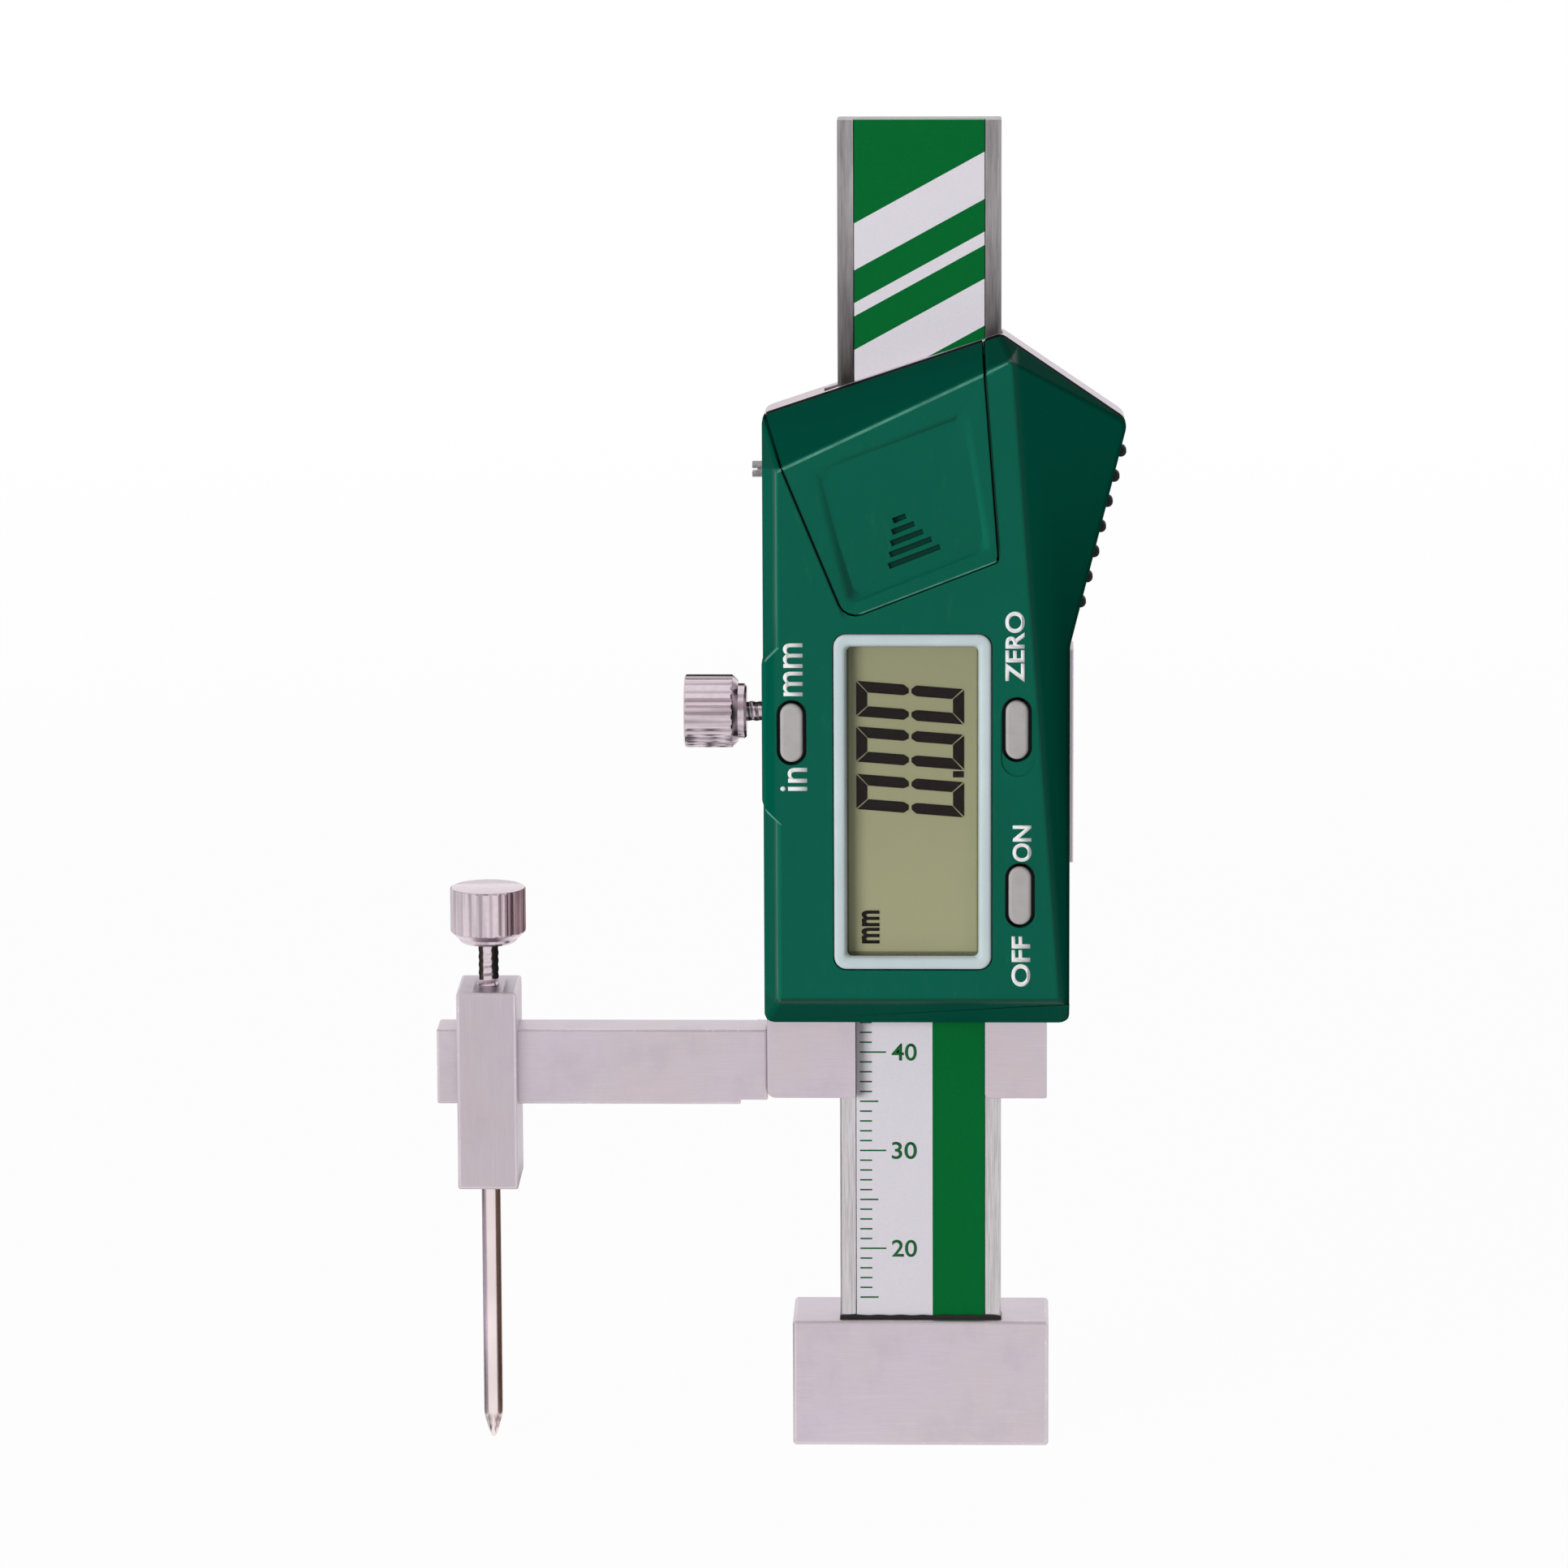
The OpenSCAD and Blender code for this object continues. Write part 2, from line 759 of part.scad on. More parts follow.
// The two lugs that reach below the housing, on each side of the scale
module lug_shape() {
    top = house_z + 4;
    polygon(rounded(
        [
            [-lug_left, frame_z], [-scale_half, frame_z],
            [-scale_half, top], [-lug_left, top],
        ],
        [lug_r, lug_r / 2, 0.1, 0.1]
    ));
    polygon(rounded(
        [
            [scale_half, frame_z], [lug_right, frame_z],
            [lug_right, top], [scale_half, top],
        ],
        [lug_r / 2, lug_r / 4, 0.1, 0.1]
    ));
}

module slider_frame() {
    top = beam_top + 20;
    color([0.70, 0.69, 0.70])
        difference() {
            plate(frame_front, frame_back) {
                frame_shape();
                lug_shape();
            }
            box([-guide_left, frame_channel, 0], [guide_right, frame_back + 1, top]);
            box([-gib_slot, frame_channel, gib_z[0]], [0, frame_back + 1, top]);
            box(
                [-sensor_half - 0.2, frame_front - 1, sensor_z[0] - 0.2],
                [sensor_half + 0.2, frame_back, sensor_z[1] + 0.2]
            );
            box(
                [-scale_half, frame_front - 1, 0],
                [scale_half, frame_back, throat_top]
            );
            box(
                [-housing_left - 1, lap, 0],
                [lap_end_x, frame_back + 1, arm_z + arm_h + fit_gap]
            );
            for (z = arm_screw_z)
                pin_y(
                    [arm_screw_x, z], arm_screw_d + 2 * fit_gap,
                    lap - arm_screw_bite - fit_gap, lap + 1
                );
            for (at = back_screws)
                pin_y(
                    at, back_screw_d + 2 * fit_gap,
                    frame_front - 1, frame_back + 1
                );
            pin_x(-2 * nose_x, 0, lock_z, thumb_screw_d + 2 * thread_gap);
            for (h = [gib_screw_low, gib_screw_high])
                pin_x(-2 * nose_x, 0, house_z + h, gib_screw_d + 2 * fit_gap);
        }
}

module back_plate() {
    color([0.74, 0.73, 0.74])
        difference() {
            plate(frame_back, plate_back)
                polygon(rounded(inset(house_outline, plate_inset), house_radii));
            for (at = back_screws)
                back_driven(at, plate_back, back_screw_d, back_plate_t + 1, fit_gap);
        }
}

module back_screws() {
    color([0.55, 0.55, 0.57])
        for (at = back_screws)
            back_driven(
                at, plate_back, back_screw_d,
                plate_back - frame_front + back_screw_bite
            );
}

module gib() {
    color([0.75, 0.58, 0.30])
        box(
            [-guide_left - gib_t, frame_channel + 0.15, gib_z[0] + 0.2],
            [-guide_left, frame_back - 0.15, gib_z[1]]
        );
}

// A slotted set screw whose point rests on the gib
module gib_screw(z, out) {
    x0 = -housing_left + frame_inset - out;
    difference() {
        pin_x(x0, -guide_left - gib_t, z, gib_screw_d);
        box([x0 - 1, -1, z - 0.18], [x0 + 0.5, 1, z + 0.18]);
    }
}

module gib_screws() {
    color([0.60, 0.59, 0.60]) {
        gib_screw(house_z + gib_screw_high, gib_screw_out);
        gib_screw(house_z + gib_screw_low, -0.2);
    }
}

module arm() {
    color([0.72, 0.70, 0.72])
        difference() {
            union() {
                ground_block(
                    [-arm_reach, arm_front, arm_z],
                    [arm_root_x, arm_back, arm_z + arm_h],
                    0.15
                );
                box(
                    [arm_root_x - 1, lap, frame_z],
                    [lap_end_x - fit_gap, arm_back, arm_z + arm_h]
                );
            }
            box(
                [arm_root_x - arm_relief_l, arm_front - 1, arm_z - 1],
                [arm_root_x + eps, arm_back + 1, arm_z + arm_relief]
            );
            for (z = arm_screw_z)
                back_driven(
                    [arm_screw_x, z], arm_back, arm_screw_d, arm_t + 1, fit_gap
                );
        }
}

module arm_screws() {
    color([0.55, 0.55, 0.57])
        for (z = arm_screw_z)
            back_driven(
                [arm_screw_x, z], arm_back, arm_screw_d,
                arm_back - lap + arm_screw_bite
            );
}

// The housing's outer body, or its inside when it is shrunk by a wall. Six bevels cut
// the front edges of the outline, so the body tapers towards the front face.
module house_body(shrink = 0, back = frame_front) {
    radii = [for (i = [0 : 5]) max(0.2, house_radii[i] + (i == 2 ? shrink : -shrink))];
    intersection() {
        plate(face + shrink, back)
            polygon(rounded(inset(house_outline, shrink), radii));
        behind(face_low_left, face_shoulder, side_low_left, shrink);
        behind(face_low_right, face_low_left, side_low_left, shrink);
        behind(face_apex, face_low_right, side_nose, shrink);
        behind(face_apex, side_nose, side_apex, shrink);
        behind(face_apex, side_apex, side_shoulder, shrink);
        behind(face_apex, side_shoulder, face_shoulder, shrink);
    }
}

// The rib keeps the unit button's hole inside the wall
module house_rib() {
    low = [-housing_left, face + 2, house_z];
    intersection() {
        plate(face, face + 4) polygon(side_rib);
        plate(face, face + 4) polygon(rounded(house_outline, house_radii));
        behind(
            [-housing_left + rib_bevel, face, house_z],
            [-housing_left + rib_bevel, face, shoulder_z],
            low
        );
    }
}

// The space of the battery cover, seen from the front, made larger by grow
module cover_prism(grow = 0) {
    plate(face - 5, frame_front + 5)
        polygon(rounded(inset(cover_seam, -grow), cover_radii));
}

// A bar of the cover's arrow: its middle lies h along the slide, and it is l long
module arrow_bar(h, l) {
    at = (pad[0] + pad[1]) / 2 + cover_slide * h + cover_across * 0.3;
    translate([at[0], face + 0.02, at[1]])
        rotate([0, -cover_tilt, 0])
            translate([-l / 2, 0, -0.26]) cube([l, 0.85, 0.52]);
}

// The thumb recess of the battery cover, which deepens towards the lower edge
module pad_pocket() {
    difference() {
        hull() {
            plate(face - 0.1, face) polygon(rounded(pad, pad_radii));
            plate(face, face + pad_depth[1])
                polygon(rounded(pad + pad_slopes, pad_radii));
        }
        behind(
            [pad[0][0], face + pad_depth[1], pad[0][1]],
            [pad[1][0], face + pad_depth[1], pad[1][1]],
            [pad[3][0], face + pad_depth[0], pad[3][1]]
        );
    }
}

// A box laid along the cover's slide: from [across, along] low to high about a point
module along_slide(at, y0, y1, low, high) {
    translate([at[0], 0, at[1]])
        rotate([0, -cover_tilt, 0])
            box([low[0], y0, low[1]], [high[0], y1, high[1]]);
}

module battery_cover() {
    latch = (cover_seam[0] + cover_seam[1]) / 2;
    under_floor = tub_floor_back + 0.15;
    tongue_back = face_inner + 0.4;
    color([0.0, 0.30, 0.20])
        difference() {
            union() {
                intersection() {
                    difference() {
                        house_body();
                        house_body(wall, frame_front + 1);
                        box(
                            [-2 * nose_x, frame_front - 0.2, 0],
                            [2 * nose_x, 20, apex_z + 20]
                        );
                    }
                    cover_prism(-cover_gap);
                }
                along_slide(
                    latch, face_inner - 0.3, tongue_back, [-2.5, 0.3], [2.5, 1.2]
                );
                along_slide(
                    latch, face_inner + 0.05, tongue_back, [-2.5, -0.9], [2.5, 1.2]
                );
                for (x = hook_x)
                    along_slide(
                        [x, outline_top(x) - hook_drop],
                        under_floor, frame_front - 0.2,
                        [-hook_w / 2, -hook_l], [hook_w / 2, 0]
                    );
            }
            pad_pocket();
            for (i = [0 : 4]) arrow_bar(2 + i, 5.3 - i);
        }
}

// The shallow pocket along the nose that the thumb grip's strip fills
grip_dir = unit(house_outline[3] - house_outline[2]);
grip_out = [grip_dir[1], -grip_dir[0]];
grip_mid = (house_outline[2] + house_outline[3]) / 2 - grip_out * 0.01 + grip_dir * 0.35;
grip_angle = atan2(grip_dir[0], grip_dir[1]);
grip_l = (grip_ribs - 1) * grip_pitch + 2 * grip_rib_d;
grip_y = [skirt_front + 0.35, frame_front - 0.25];

// The strip's body, made larger by grow, from depth below the wall's surface
module grip_strip(grow = 0, proud = 0) {
    translate([grip_mid[0], 0, grip_mid[1]])
        rotate([0, grip_angle, 0])
            box(
                [-grip_strip_t - grow, grip_y[0] - grow, -grip_l / 2 - grow],
                [proud, grip_y[1] + grow, grip_l / 2 + grow]
            );
}

module thumb_grip() {
    color([0.04, 0.05, 0.05]) {
        grip_strip();
        for (i = [0 : grip_ribs - 1]) {
            at = grip_mid + grip_dir * (i - (grip_ribs - 1) / 2) * grip_pitch;
            pin_y(at + grip_out * 0.1, grip_rib_d, grip_y[0], grip_y[1]);
        }
    }
}

module button_place(at) {
    translate([at[0], 0, at[1]]) children();
}

// What the housing adds inside its shell: screw bosses, the cell's tub and its floor,
// and the thicker wall behind the thumb grip
module housing_inside() {
    intersection() {
        union() {
            for (at = back_screws)
                pin_y(at, boss_d, face_inner - 0.3, frame_front);
            plate(tub_floor_front, tub_floor_back)
                translate([-2 * nose_x, tub_z]) square([4 * nose_x, apex_z]);
            pin_y(
                cell_at, cell_d + 2 * (tub_gap + tub_wall),
                cell_front, tub_floor_front + 0.3
            );
            grip_backing();
        }
        house_body(wall / 2);
    }
}

module housing() {
    color([0.0, 0.33, 0.24])
        difference() {
            union() {
                difference() {
                    union() {
                        house_body();
                        house_rib();
                    }
                    house_body(wall, frame_front + 1);
                    cover_prism();
                }
                difference() {
                    housing_inside();
                    pin_y(
                        cell_at, cell_d + 2 * tub_gap,
                        face - 1, tub_floor_front
                    );
                    difference() {
                        cover_prism();
                        house_body(wall + cover_gap, frame_front + 1);
                    }
                }
            }
            for (at = back_screws)
                pin_y(
                    at, back_screw_d + 2 * fit_gap,
                    frame_front - back_screw_bite - fit_gap, frame_front + 1
                );
            button_place([bezel_mid_x, bezel_z])
                plate(face - 1, face_inner + 1)
                    soft_rectangle(bezel_w + 0.06, bezel_h + 0.06, bezel_r);
            for (at = [unit_at, zero_at, power_at])
                button_place(at)
                    plate(face - 1, face_inner + 1)
                        stadium(button_w + 2 * button_gap, button_l + 2 * button_gap);
            button_place(unit_at)
                plate(face_inner, face_inner + 3)
                    stadium(button_w + 1.5, button_l + 1.5);
            button_place(zero_at + [0.1, -zero_ring_drop])
                plate(face - 1, face + zero_ring_depth)
                    stadium(
                        button_w + 2 * button_gap + zero_ring_w,
                        button_l + 2 * button_gap + zero_ring_l
                    );
            grip_strip(fit_gap, 3);
        }
}

// The thicker wall that carries the thumb grip's strip
module grip_backing() {
    translate([grip_mid[0], 0, grip_mid[1]])
        rotate([0, grip_angle, 0])
            box([-2, grip_y[0] - 0.5, -grip_l / 2 - 1], [1, frame_front, grip_l / 2 + 1]);
}

module display_bezel() {
    color([0.74, 0.82, 0.86])
        button_place([bezel_mid_x, bezel_z])
            difference() {
                union() {
                    plate(face - bezel_proud, face_inner + eps)
                        soft_rectangle(bezel_w, bezel_h, bezel_r);
                    plate(face_inner, face_inner + bezel_flange_t)
                        soft_rectangle(
                            bezel_w + 2 * bezel_flange, bezel_h + 2 * bezel_flange,
                            bezel_r
                        );
                }
                plate(face - 1, face_inner + 2)
                    soft_rectangle(window_w, window_h, 0.5);
                plate(window_front, face_inner + 2)
                    soft_rectangle(
                        window_w + 2 * window_rebate, window_h + 2 * window_rebate, 0.5
                    );
                bezel_slope();
            }
}

// The slope around the bezel's opening, wider towards the front
module bezel_slope() {
    front = face - bezel_proud - eps;
    back = face + bezel_slope_depth;
    s = bezel_slope_w;
    intersection() {
        bezel_wedge(window_w / 2, s, front, back);
        rotate([0, 90, 0]) bezel_wedge(window_h / 2, s, front, back);
    }
}

// A long wedge along Z: w wide to each side at the back and w + s at the front
module bezel_wedge(w, s, front, back) {
    linear_extrude(2 * max(bezel_w, bezel_h), center = true)
        polygon([[-w - s, front], [w + s, front], [w, back], [-w, back]]);
}

module display_window() {
    color([0.85, 0.90, 0.90, 0.3])
        button_place([bezel_mid_x, bezel_z])
            plate(window_front + fit_gap, window_back)
                soft_rectangle(
                    window_w + 2 * window_rebate - 0.06,
                    window_h + 2 * window_rebate - 0.06, 0.5
                );
}

module lcd_glass() {
    color([0.62, 0.63, 0.48])
        button_place([bezel_mid_x, bezel_z])
            plate(lcd_front, lcd_back) square([lcd_w, lcd_h], center = true);
}

module contact_strips() {
    color([0.25, 0.25, 0.28])
        for (side = [-1, 1])
            button_place([bezel_mid_x + side * (lcd_w / 2 - strip_w / 2), bezel_z])
                plate(lcd_back, board_front) square([strip_w, strip_l], center = true);
}

// A notch of radius r that runs from a screw boss to the board's edge
module boss_notch(at, r, y0, y1) {
    edge = at[0] < 0 ? -nose_x : nose_x;
    pin_y(at, 2 * r, y0, y1);
    box(
        [min(at[0], edge), y0, at[1] - r],
        [max(at[0], edge), y1, at[1] + r]
    );
}

module circuit_board() {
    left = -housing_left + wall + board_gap;
    right = housing_right - wall - board_gap;
    color([0.05, 0.35, 0.15])
        difference() {
            union() {
                box([left, board_front, board_z[0]], [right, frame_front, board_z[1]]);
                box(
                    [-sensor_half, frame_front - eps, sensor_z[0]],
                    [sensor_half, beam_front - sensor_clear, sensor_z[1]]
                );
            }
            for (at = back_screws)
                boss_notch(
                    at, boss_d / 2 + board_gap, board_front - 1, frame_front + eps
                );
        }
}

module controller_chip() {
    color([0.05, 0.05, 0.05])
        box(
            [bezel_mid_x - 3.5, board_front - 1, bezel_z - 3.5],
            [bezel_mid_x + 3.5, board_front, bezel_z + 3.5]
        );
}

module key_domes() {
    color([0.15, 0.15, 0.16])
        for (at = [unit_at, zero_at, power_at])
            button_place(at)
                translate([0, board_front, 0])
                    rotate([90, 0, 0])
                        rotate_extrude()
                            polygon([
                                [0, 0], [dome_d / 2, 0], [dome_d / 2, 0.3],
                                [1, dome_t], [0, dome_t],
                            ]);
}

module push_button(at) {
    flange_front = face_inner + fit_gap;
    plunger_back = board_front - dome_t - button_travel - button_spare;
    button_place(at) {
        plate(face - button_proud, flange_front + eps) stadium(button_w, button_l);
        plate(flange_front, flange_front + button_flange_t)
            stadium(button_w + 2 * button_flange, button_l + 2 * button_flange);
        pin_y([0, 0], plunger_d, flange_front, plunger_back);
    }
}

module unit_button() {
    color([0.70, 0.69, 0.69]) push_button(unit_at);
}

module zero_button() {
    color([0.70, 0.69, 0.69]) push_button(zero_at);
}

module power_button() {
    color([0.70, 0.69, 0.69]) push_button(power_at);
}

module battery_cell() {
    rim = 0.35;
    color([0.75, 0.75, 0.77])
        translate([cell_at[0], cell_back, cell_at[1]])
            rotate([90, 0, 0])
                rotate_extrude()
                    polygon([
                        [0, 0], [cell_d / 2 - 0.9, 0], [cell_d / 2 - 0.8, rim],
                        [cell_d / 2, rim + 0.2], [cell_d / 2, cell_t - 0.3],
                        [cell_d / 2 - 0.3, cell_t], [0, cell_t],
                    ]);
}

// The leaf under the cell and the leaf against its side
module battery_contacts() {
    side_x = cell_at[0] + cell_d / 2;
    color([0.80, 0.70, 0.40]) {
        box(
            [cell_at[0] - 4.5, tub_floor_front - contact_t, cell_at[1] - 1.5],
            [cell_at[0] + 4.5, tub_floor_front, cell_at[1] + 1.5]
        );
        pin_y(cell_at, 2.4, cell_back + 0.02, tub_floor_front - contact_t);
        box(
            [side_x + 0.02, face_inner + 1.2, cell_at[1] - 0.6],
            [side_x + tub_gap - 0.04, tub_floor_front - contact_t - 0.3, cell_at[1] + 0.6]
        );
    }
}

module lock_screw() {
    shank = housing_left - frame_inset + lock_screw_out - guide_left - gib_t - 0.05;
    color([0.68, 0.65, 0.67])
        translate([-guide_left - gib_t - 0.05, 0, lock_z])
            rotate([0, -90, 0]) thumb_screw(lock_knob_d, lock_knob_l, shank);
}

module clamp_block() {
    gap = 0.05;
    color([0.72, 0.70, 0.72])
        difference() {
            ground_block(
                [-needle_x - clamp_w / 2, arm_front - clamp_wall, needle_reach],
                [-needle_x + clamp_w / 2, arm_back + clamp_wall, clamp_top],
                clamp_chamfer
            );
            box(
                [-needle_x - clamp_w, arm_front - gap, arm_z - gap],
                [-needle_x + clamp_w, arm_back + gap, arm_z + arm_h + gap]
            );
            translate([-needle_x, arm_offset, arm_z + arm_h - 1])
                cylinder(d = thumb_screw_d + 2 * thread_gap, h = clamp_head + 3);
            translate([-needle_x, arm_offset, needle_reach - 1])
                cylinder(d = needle_d + 2 * fit_gap, h = needle_seat + 1);
        }
}

module needle() {
    r = needle_d / 2;
    slope = atan2(r - needle_tip_r, needle_cone - needle_tip_r);
    color([0.70, 0.66, 0.66])
        translate([-needle_x, arm_offset, 0])
            rotate_extrude()
                polygon(concat(
                    [
                        for (a = [0 : 15 : 90 - slope])
                            needle_tip_r * [sin(a), 1 - cos(a)]
                    ],
                    [
                        [r, needle_cone],
                        [r, needle_reach + needle_seat - 0.2],
                        [0, needle_reach + needle_seat - 0.2],
                    ]
                ));
}

module clamp_screw() {
    tip = arm_z + arm_h + 0.05;
    color([0.68, 0.65, 0.67])
        translate([-needle_x, arm_offset, tip])
            thumb_screw(
                clamp_knob_d, clamp_knob_l, clamp_top + clamp_screw_out - tip
            );
}

base_block();
base_screws();
beam();
beam_seal();
scale_board();
scale_label();
travel_stop();
slider_frame();
back_plate();
back_screws();
gib();
gib_screws();
arm();
arm_screws();
housing();
thumb_grip();
display_bezel();
display_window();
lcd_glass();
contact_strips();
circuit_board();
controller_chip();
key_domes();
battery_cell();
battery_contacts();
battery_cover();
unit_button();
zero_button();
power_button();
lock_screw();
clamp_block();
needle();
clamp_screw();
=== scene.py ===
"""The looks of a digital height gauge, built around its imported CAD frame.

Lengths are in metres. X runs to the right, Y to the back and Z up, and the gauge stands on
the plane Z = 0 with its needle's tip at the left.
"""

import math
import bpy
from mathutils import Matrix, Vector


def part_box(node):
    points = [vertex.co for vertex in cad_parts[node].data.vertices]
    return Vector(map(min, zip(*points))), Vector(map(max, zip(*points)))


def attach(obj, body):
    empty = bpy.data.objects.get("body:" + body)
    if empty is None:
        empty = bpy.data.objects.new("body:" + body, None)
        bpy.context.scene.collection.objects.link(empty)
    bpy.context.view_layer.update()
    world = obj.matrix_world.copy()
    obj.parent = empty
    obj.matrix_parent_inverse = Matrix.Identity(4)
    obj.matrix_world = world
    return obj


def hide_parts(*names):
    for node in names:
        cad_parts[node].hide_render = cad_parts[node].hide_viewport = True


bl_info = {
    "name": "Digital Height Gauge",
    "version": (1, 0, 0),
    "blender": (4, 5, 0),
    "location": "View3D > Sidebar > Height Gauge",
    "description": "Gives the CAD frame of a digital height gauge its finishes and fine detail",
    "category": "Object",
}

import bmesh
import bpy
from bpy.props import FloatProperty, FloatVectorProperty, IntProperty, PointerProperty
from bpy.types import Operator, Panel, PropertyGroup
from mathutils import Color, Matrix, Quaternion, Vector
from mathutils.geometry import intersect_point_line

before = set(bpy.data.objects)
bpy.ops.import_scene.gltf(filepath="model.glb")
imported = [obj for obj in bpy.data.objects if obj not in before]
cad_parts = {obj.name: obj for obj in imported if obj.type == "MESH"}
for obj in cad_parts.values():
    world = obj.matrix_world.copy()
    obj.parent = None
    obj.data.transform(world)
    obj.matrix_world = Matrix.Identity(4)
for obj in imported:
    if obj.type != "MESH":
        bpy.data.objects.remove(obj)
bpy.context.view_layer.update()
FACE_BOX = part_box("housing")

MM = 0.001
# Points nearer than this are one point, and edges shorter than this are taken away
MERGE_GAP = 0.001 * MM
SHORTEST = 0.03 * MM
# The angles between two faces below which they are one, and above which they crease
FLAT_ANGLE = math.radians(0.5)
SHARP_ANGLE = math.radians(32)
# How far an edge may lie from a line below to count as on it, and how wide its painted highlight is
ON_LINE = 0.1 * MM
HIGHLIGHT_REACH = 0.17 * MM


def flat(x, z):
    """A point of the front view, given in millimetres."""
    return Vector((x, z)) * MM


# Corners of the front face, the battery cover's side seams, and the edges that carry a painted
# highlight: the face's upper left edge, the seam's bottom edge and the rib's slanted corners
FACE_LOW_LEFT = flat(-13.7, 47.45)
FACE_LOW_RIGHT = flat(13.6, 47.45)
FACE_APEX = flat(9.0, 110.35)
FACE_SHOULDER = flat(-13.7, 99.65)
SEAMS = ((flat(-16.1, 106.8), flat(-7.1, 85.1)), (flat(6.0, 114.6), flat(7.85, 90.9)))
HIGHLIGHT_EDGES = [
    (FACE_SHOULDER, FACE_SHOULDER.lerp(FACE_APEX, 0.955)),
    (flat(-5.39, 85.74), flat(7.31, 90.67)),
    (flat(-13.7, 65.05), flat(-15.0, 66.35)),
    (flat(-13.7, 82.45), flat(-15.0, 81.15)),
]


def colour(name, description, value):
    """A colour property, given as it looks on a screen."""
    return FloatVectorProperty(
        name=name, description=description, default=value, size=3, min=0, max=1, subtype="COLOR_GAMMA"
    )


def length(name, description, millimetres):
    """A length property."""
    return FloatProperty(
        name=name, description=description, default=millimetres * MM, unit="LENGTH", precision=5
    )


def angle(name, description, degrees):
    """An angle property."""
    return FloatProperty(
        name=name, description=description, default=math.radians(degrees), unit="ROTATION"
    )


class GaugeColours(PropertyGroup):
    """Colours of the gauge's finishes."""

    housing: colour("Housing", "Moulded green plastic", (0.0, 0.366, 0.290))
    # Painted highlight along the housing's crisp edges; at a tenth, it also tints random rubbed patches
    housing_edge: colour("Housing edge", "Painted highlight along the housing's crisp edges, also its faint rubbed patches", (0.32, 0.58, 0.50))
    # Painted shade in a dark band along the housing's foot by the frame
    gasket: colour("Foot shade", "Painted shade in a band along the housing's foot by the frame", (0.02, 0.05, 0.04))
    print_green: colour("Print green", "Green of the beam's label", (0.0, 0.400, 0.176))
    print_white: colour("Print white", "White of the beam's label", (0.90, 0.88, 0.91))
    letter: colour("Letter", "White of the printed words", (0.95, 0.95, 0.95))
    ground_steel: colour("Ground steel", "Ground faces", (0.832, 0.785, 0.832))
    ground_warm: colour("Warm tint", "Warm clouds on ground faces", (0.838, 0.790, 0.803))
    # Lighter chamfers: edge wear and a painted highlight
    steel_edge: colour("Steel edge", "Chamfered edges of ground pieces", (0.88, 0.84, 0.86))
    # The high tone is painted shade and dark reflection on the beam above the slider; it also tints the
    # grinding lines
    beam_low: colour("Beam, low", "Beam below the slider", (0.84, 0.82, 0.83))
    beam_high: colour("Beam, high", "Beam above the slider", (0.20, 0.18, 0.18))
    knurl: colour("Knurled steel", "Thumb screws", (0.88, 0.82, 0.85))
    # Painted shade in the knurling's grooves
    knurl_groove: colour("Groove", "Bottoms of the knurling's grooves", (0.50, 0.45, 0.46))
    needle: colour("Needle", "Hardened needle", (0.97, 0.91, 0.91))
    screw: colour("Screw", "Bright screws", (0.66, 0.65, 0.66))
    black_oxide: colour("Black oxide", "Blackened screws", (0.13, 0.13, 0.14))
    bezel: colour("Bezel", "Display bezel", (0.80, 0.855, 0.87))
    lcd: colour("Display", "Reflector of the liquid crystal glass", (0.735, 0.735, 0.575))
    segment: colour("Segment", "Switched segments", (0.07, 0.035, 0.03))
    button: colour("Button", "Push buttons", (0.71, 0.69, 0.69))
    rubber: colour("Rubber", "Thumb grip", (0.045, 0.05, 0.048))
    seal: colour("Seal", "Black seal at the beam's foot", (0.05, 0.035, 0.03))
    solder_mask: colour("Solder mask", "Circuit board", (0.03, 0.33, 0.16))
    copper: colour("Copper", "Tracks under the solder mask", (0.12, 0.46, 0.22))
    strip: colour("Strip", "Conductive rubber", (0.24, 0.24, 0.26))
    resin: colour("Resin", "Chip", (0.06, 0.06, 0.06))
    bronze: colour("Bronze", "Gib strip", (0.78, 0.60, 0.33))
    spring: colour("Spring", "Plated contacts", (0.85, 0.74, 0.45))
    can: colour("Can", "Button cell", (0.80, 0.79, 0.80))
    window: colour("Window", "Clear window", (0.10, 0.11, 0.10))
    floor: colour("Floor", "Floor", (0.99, 0.99, 0.99))


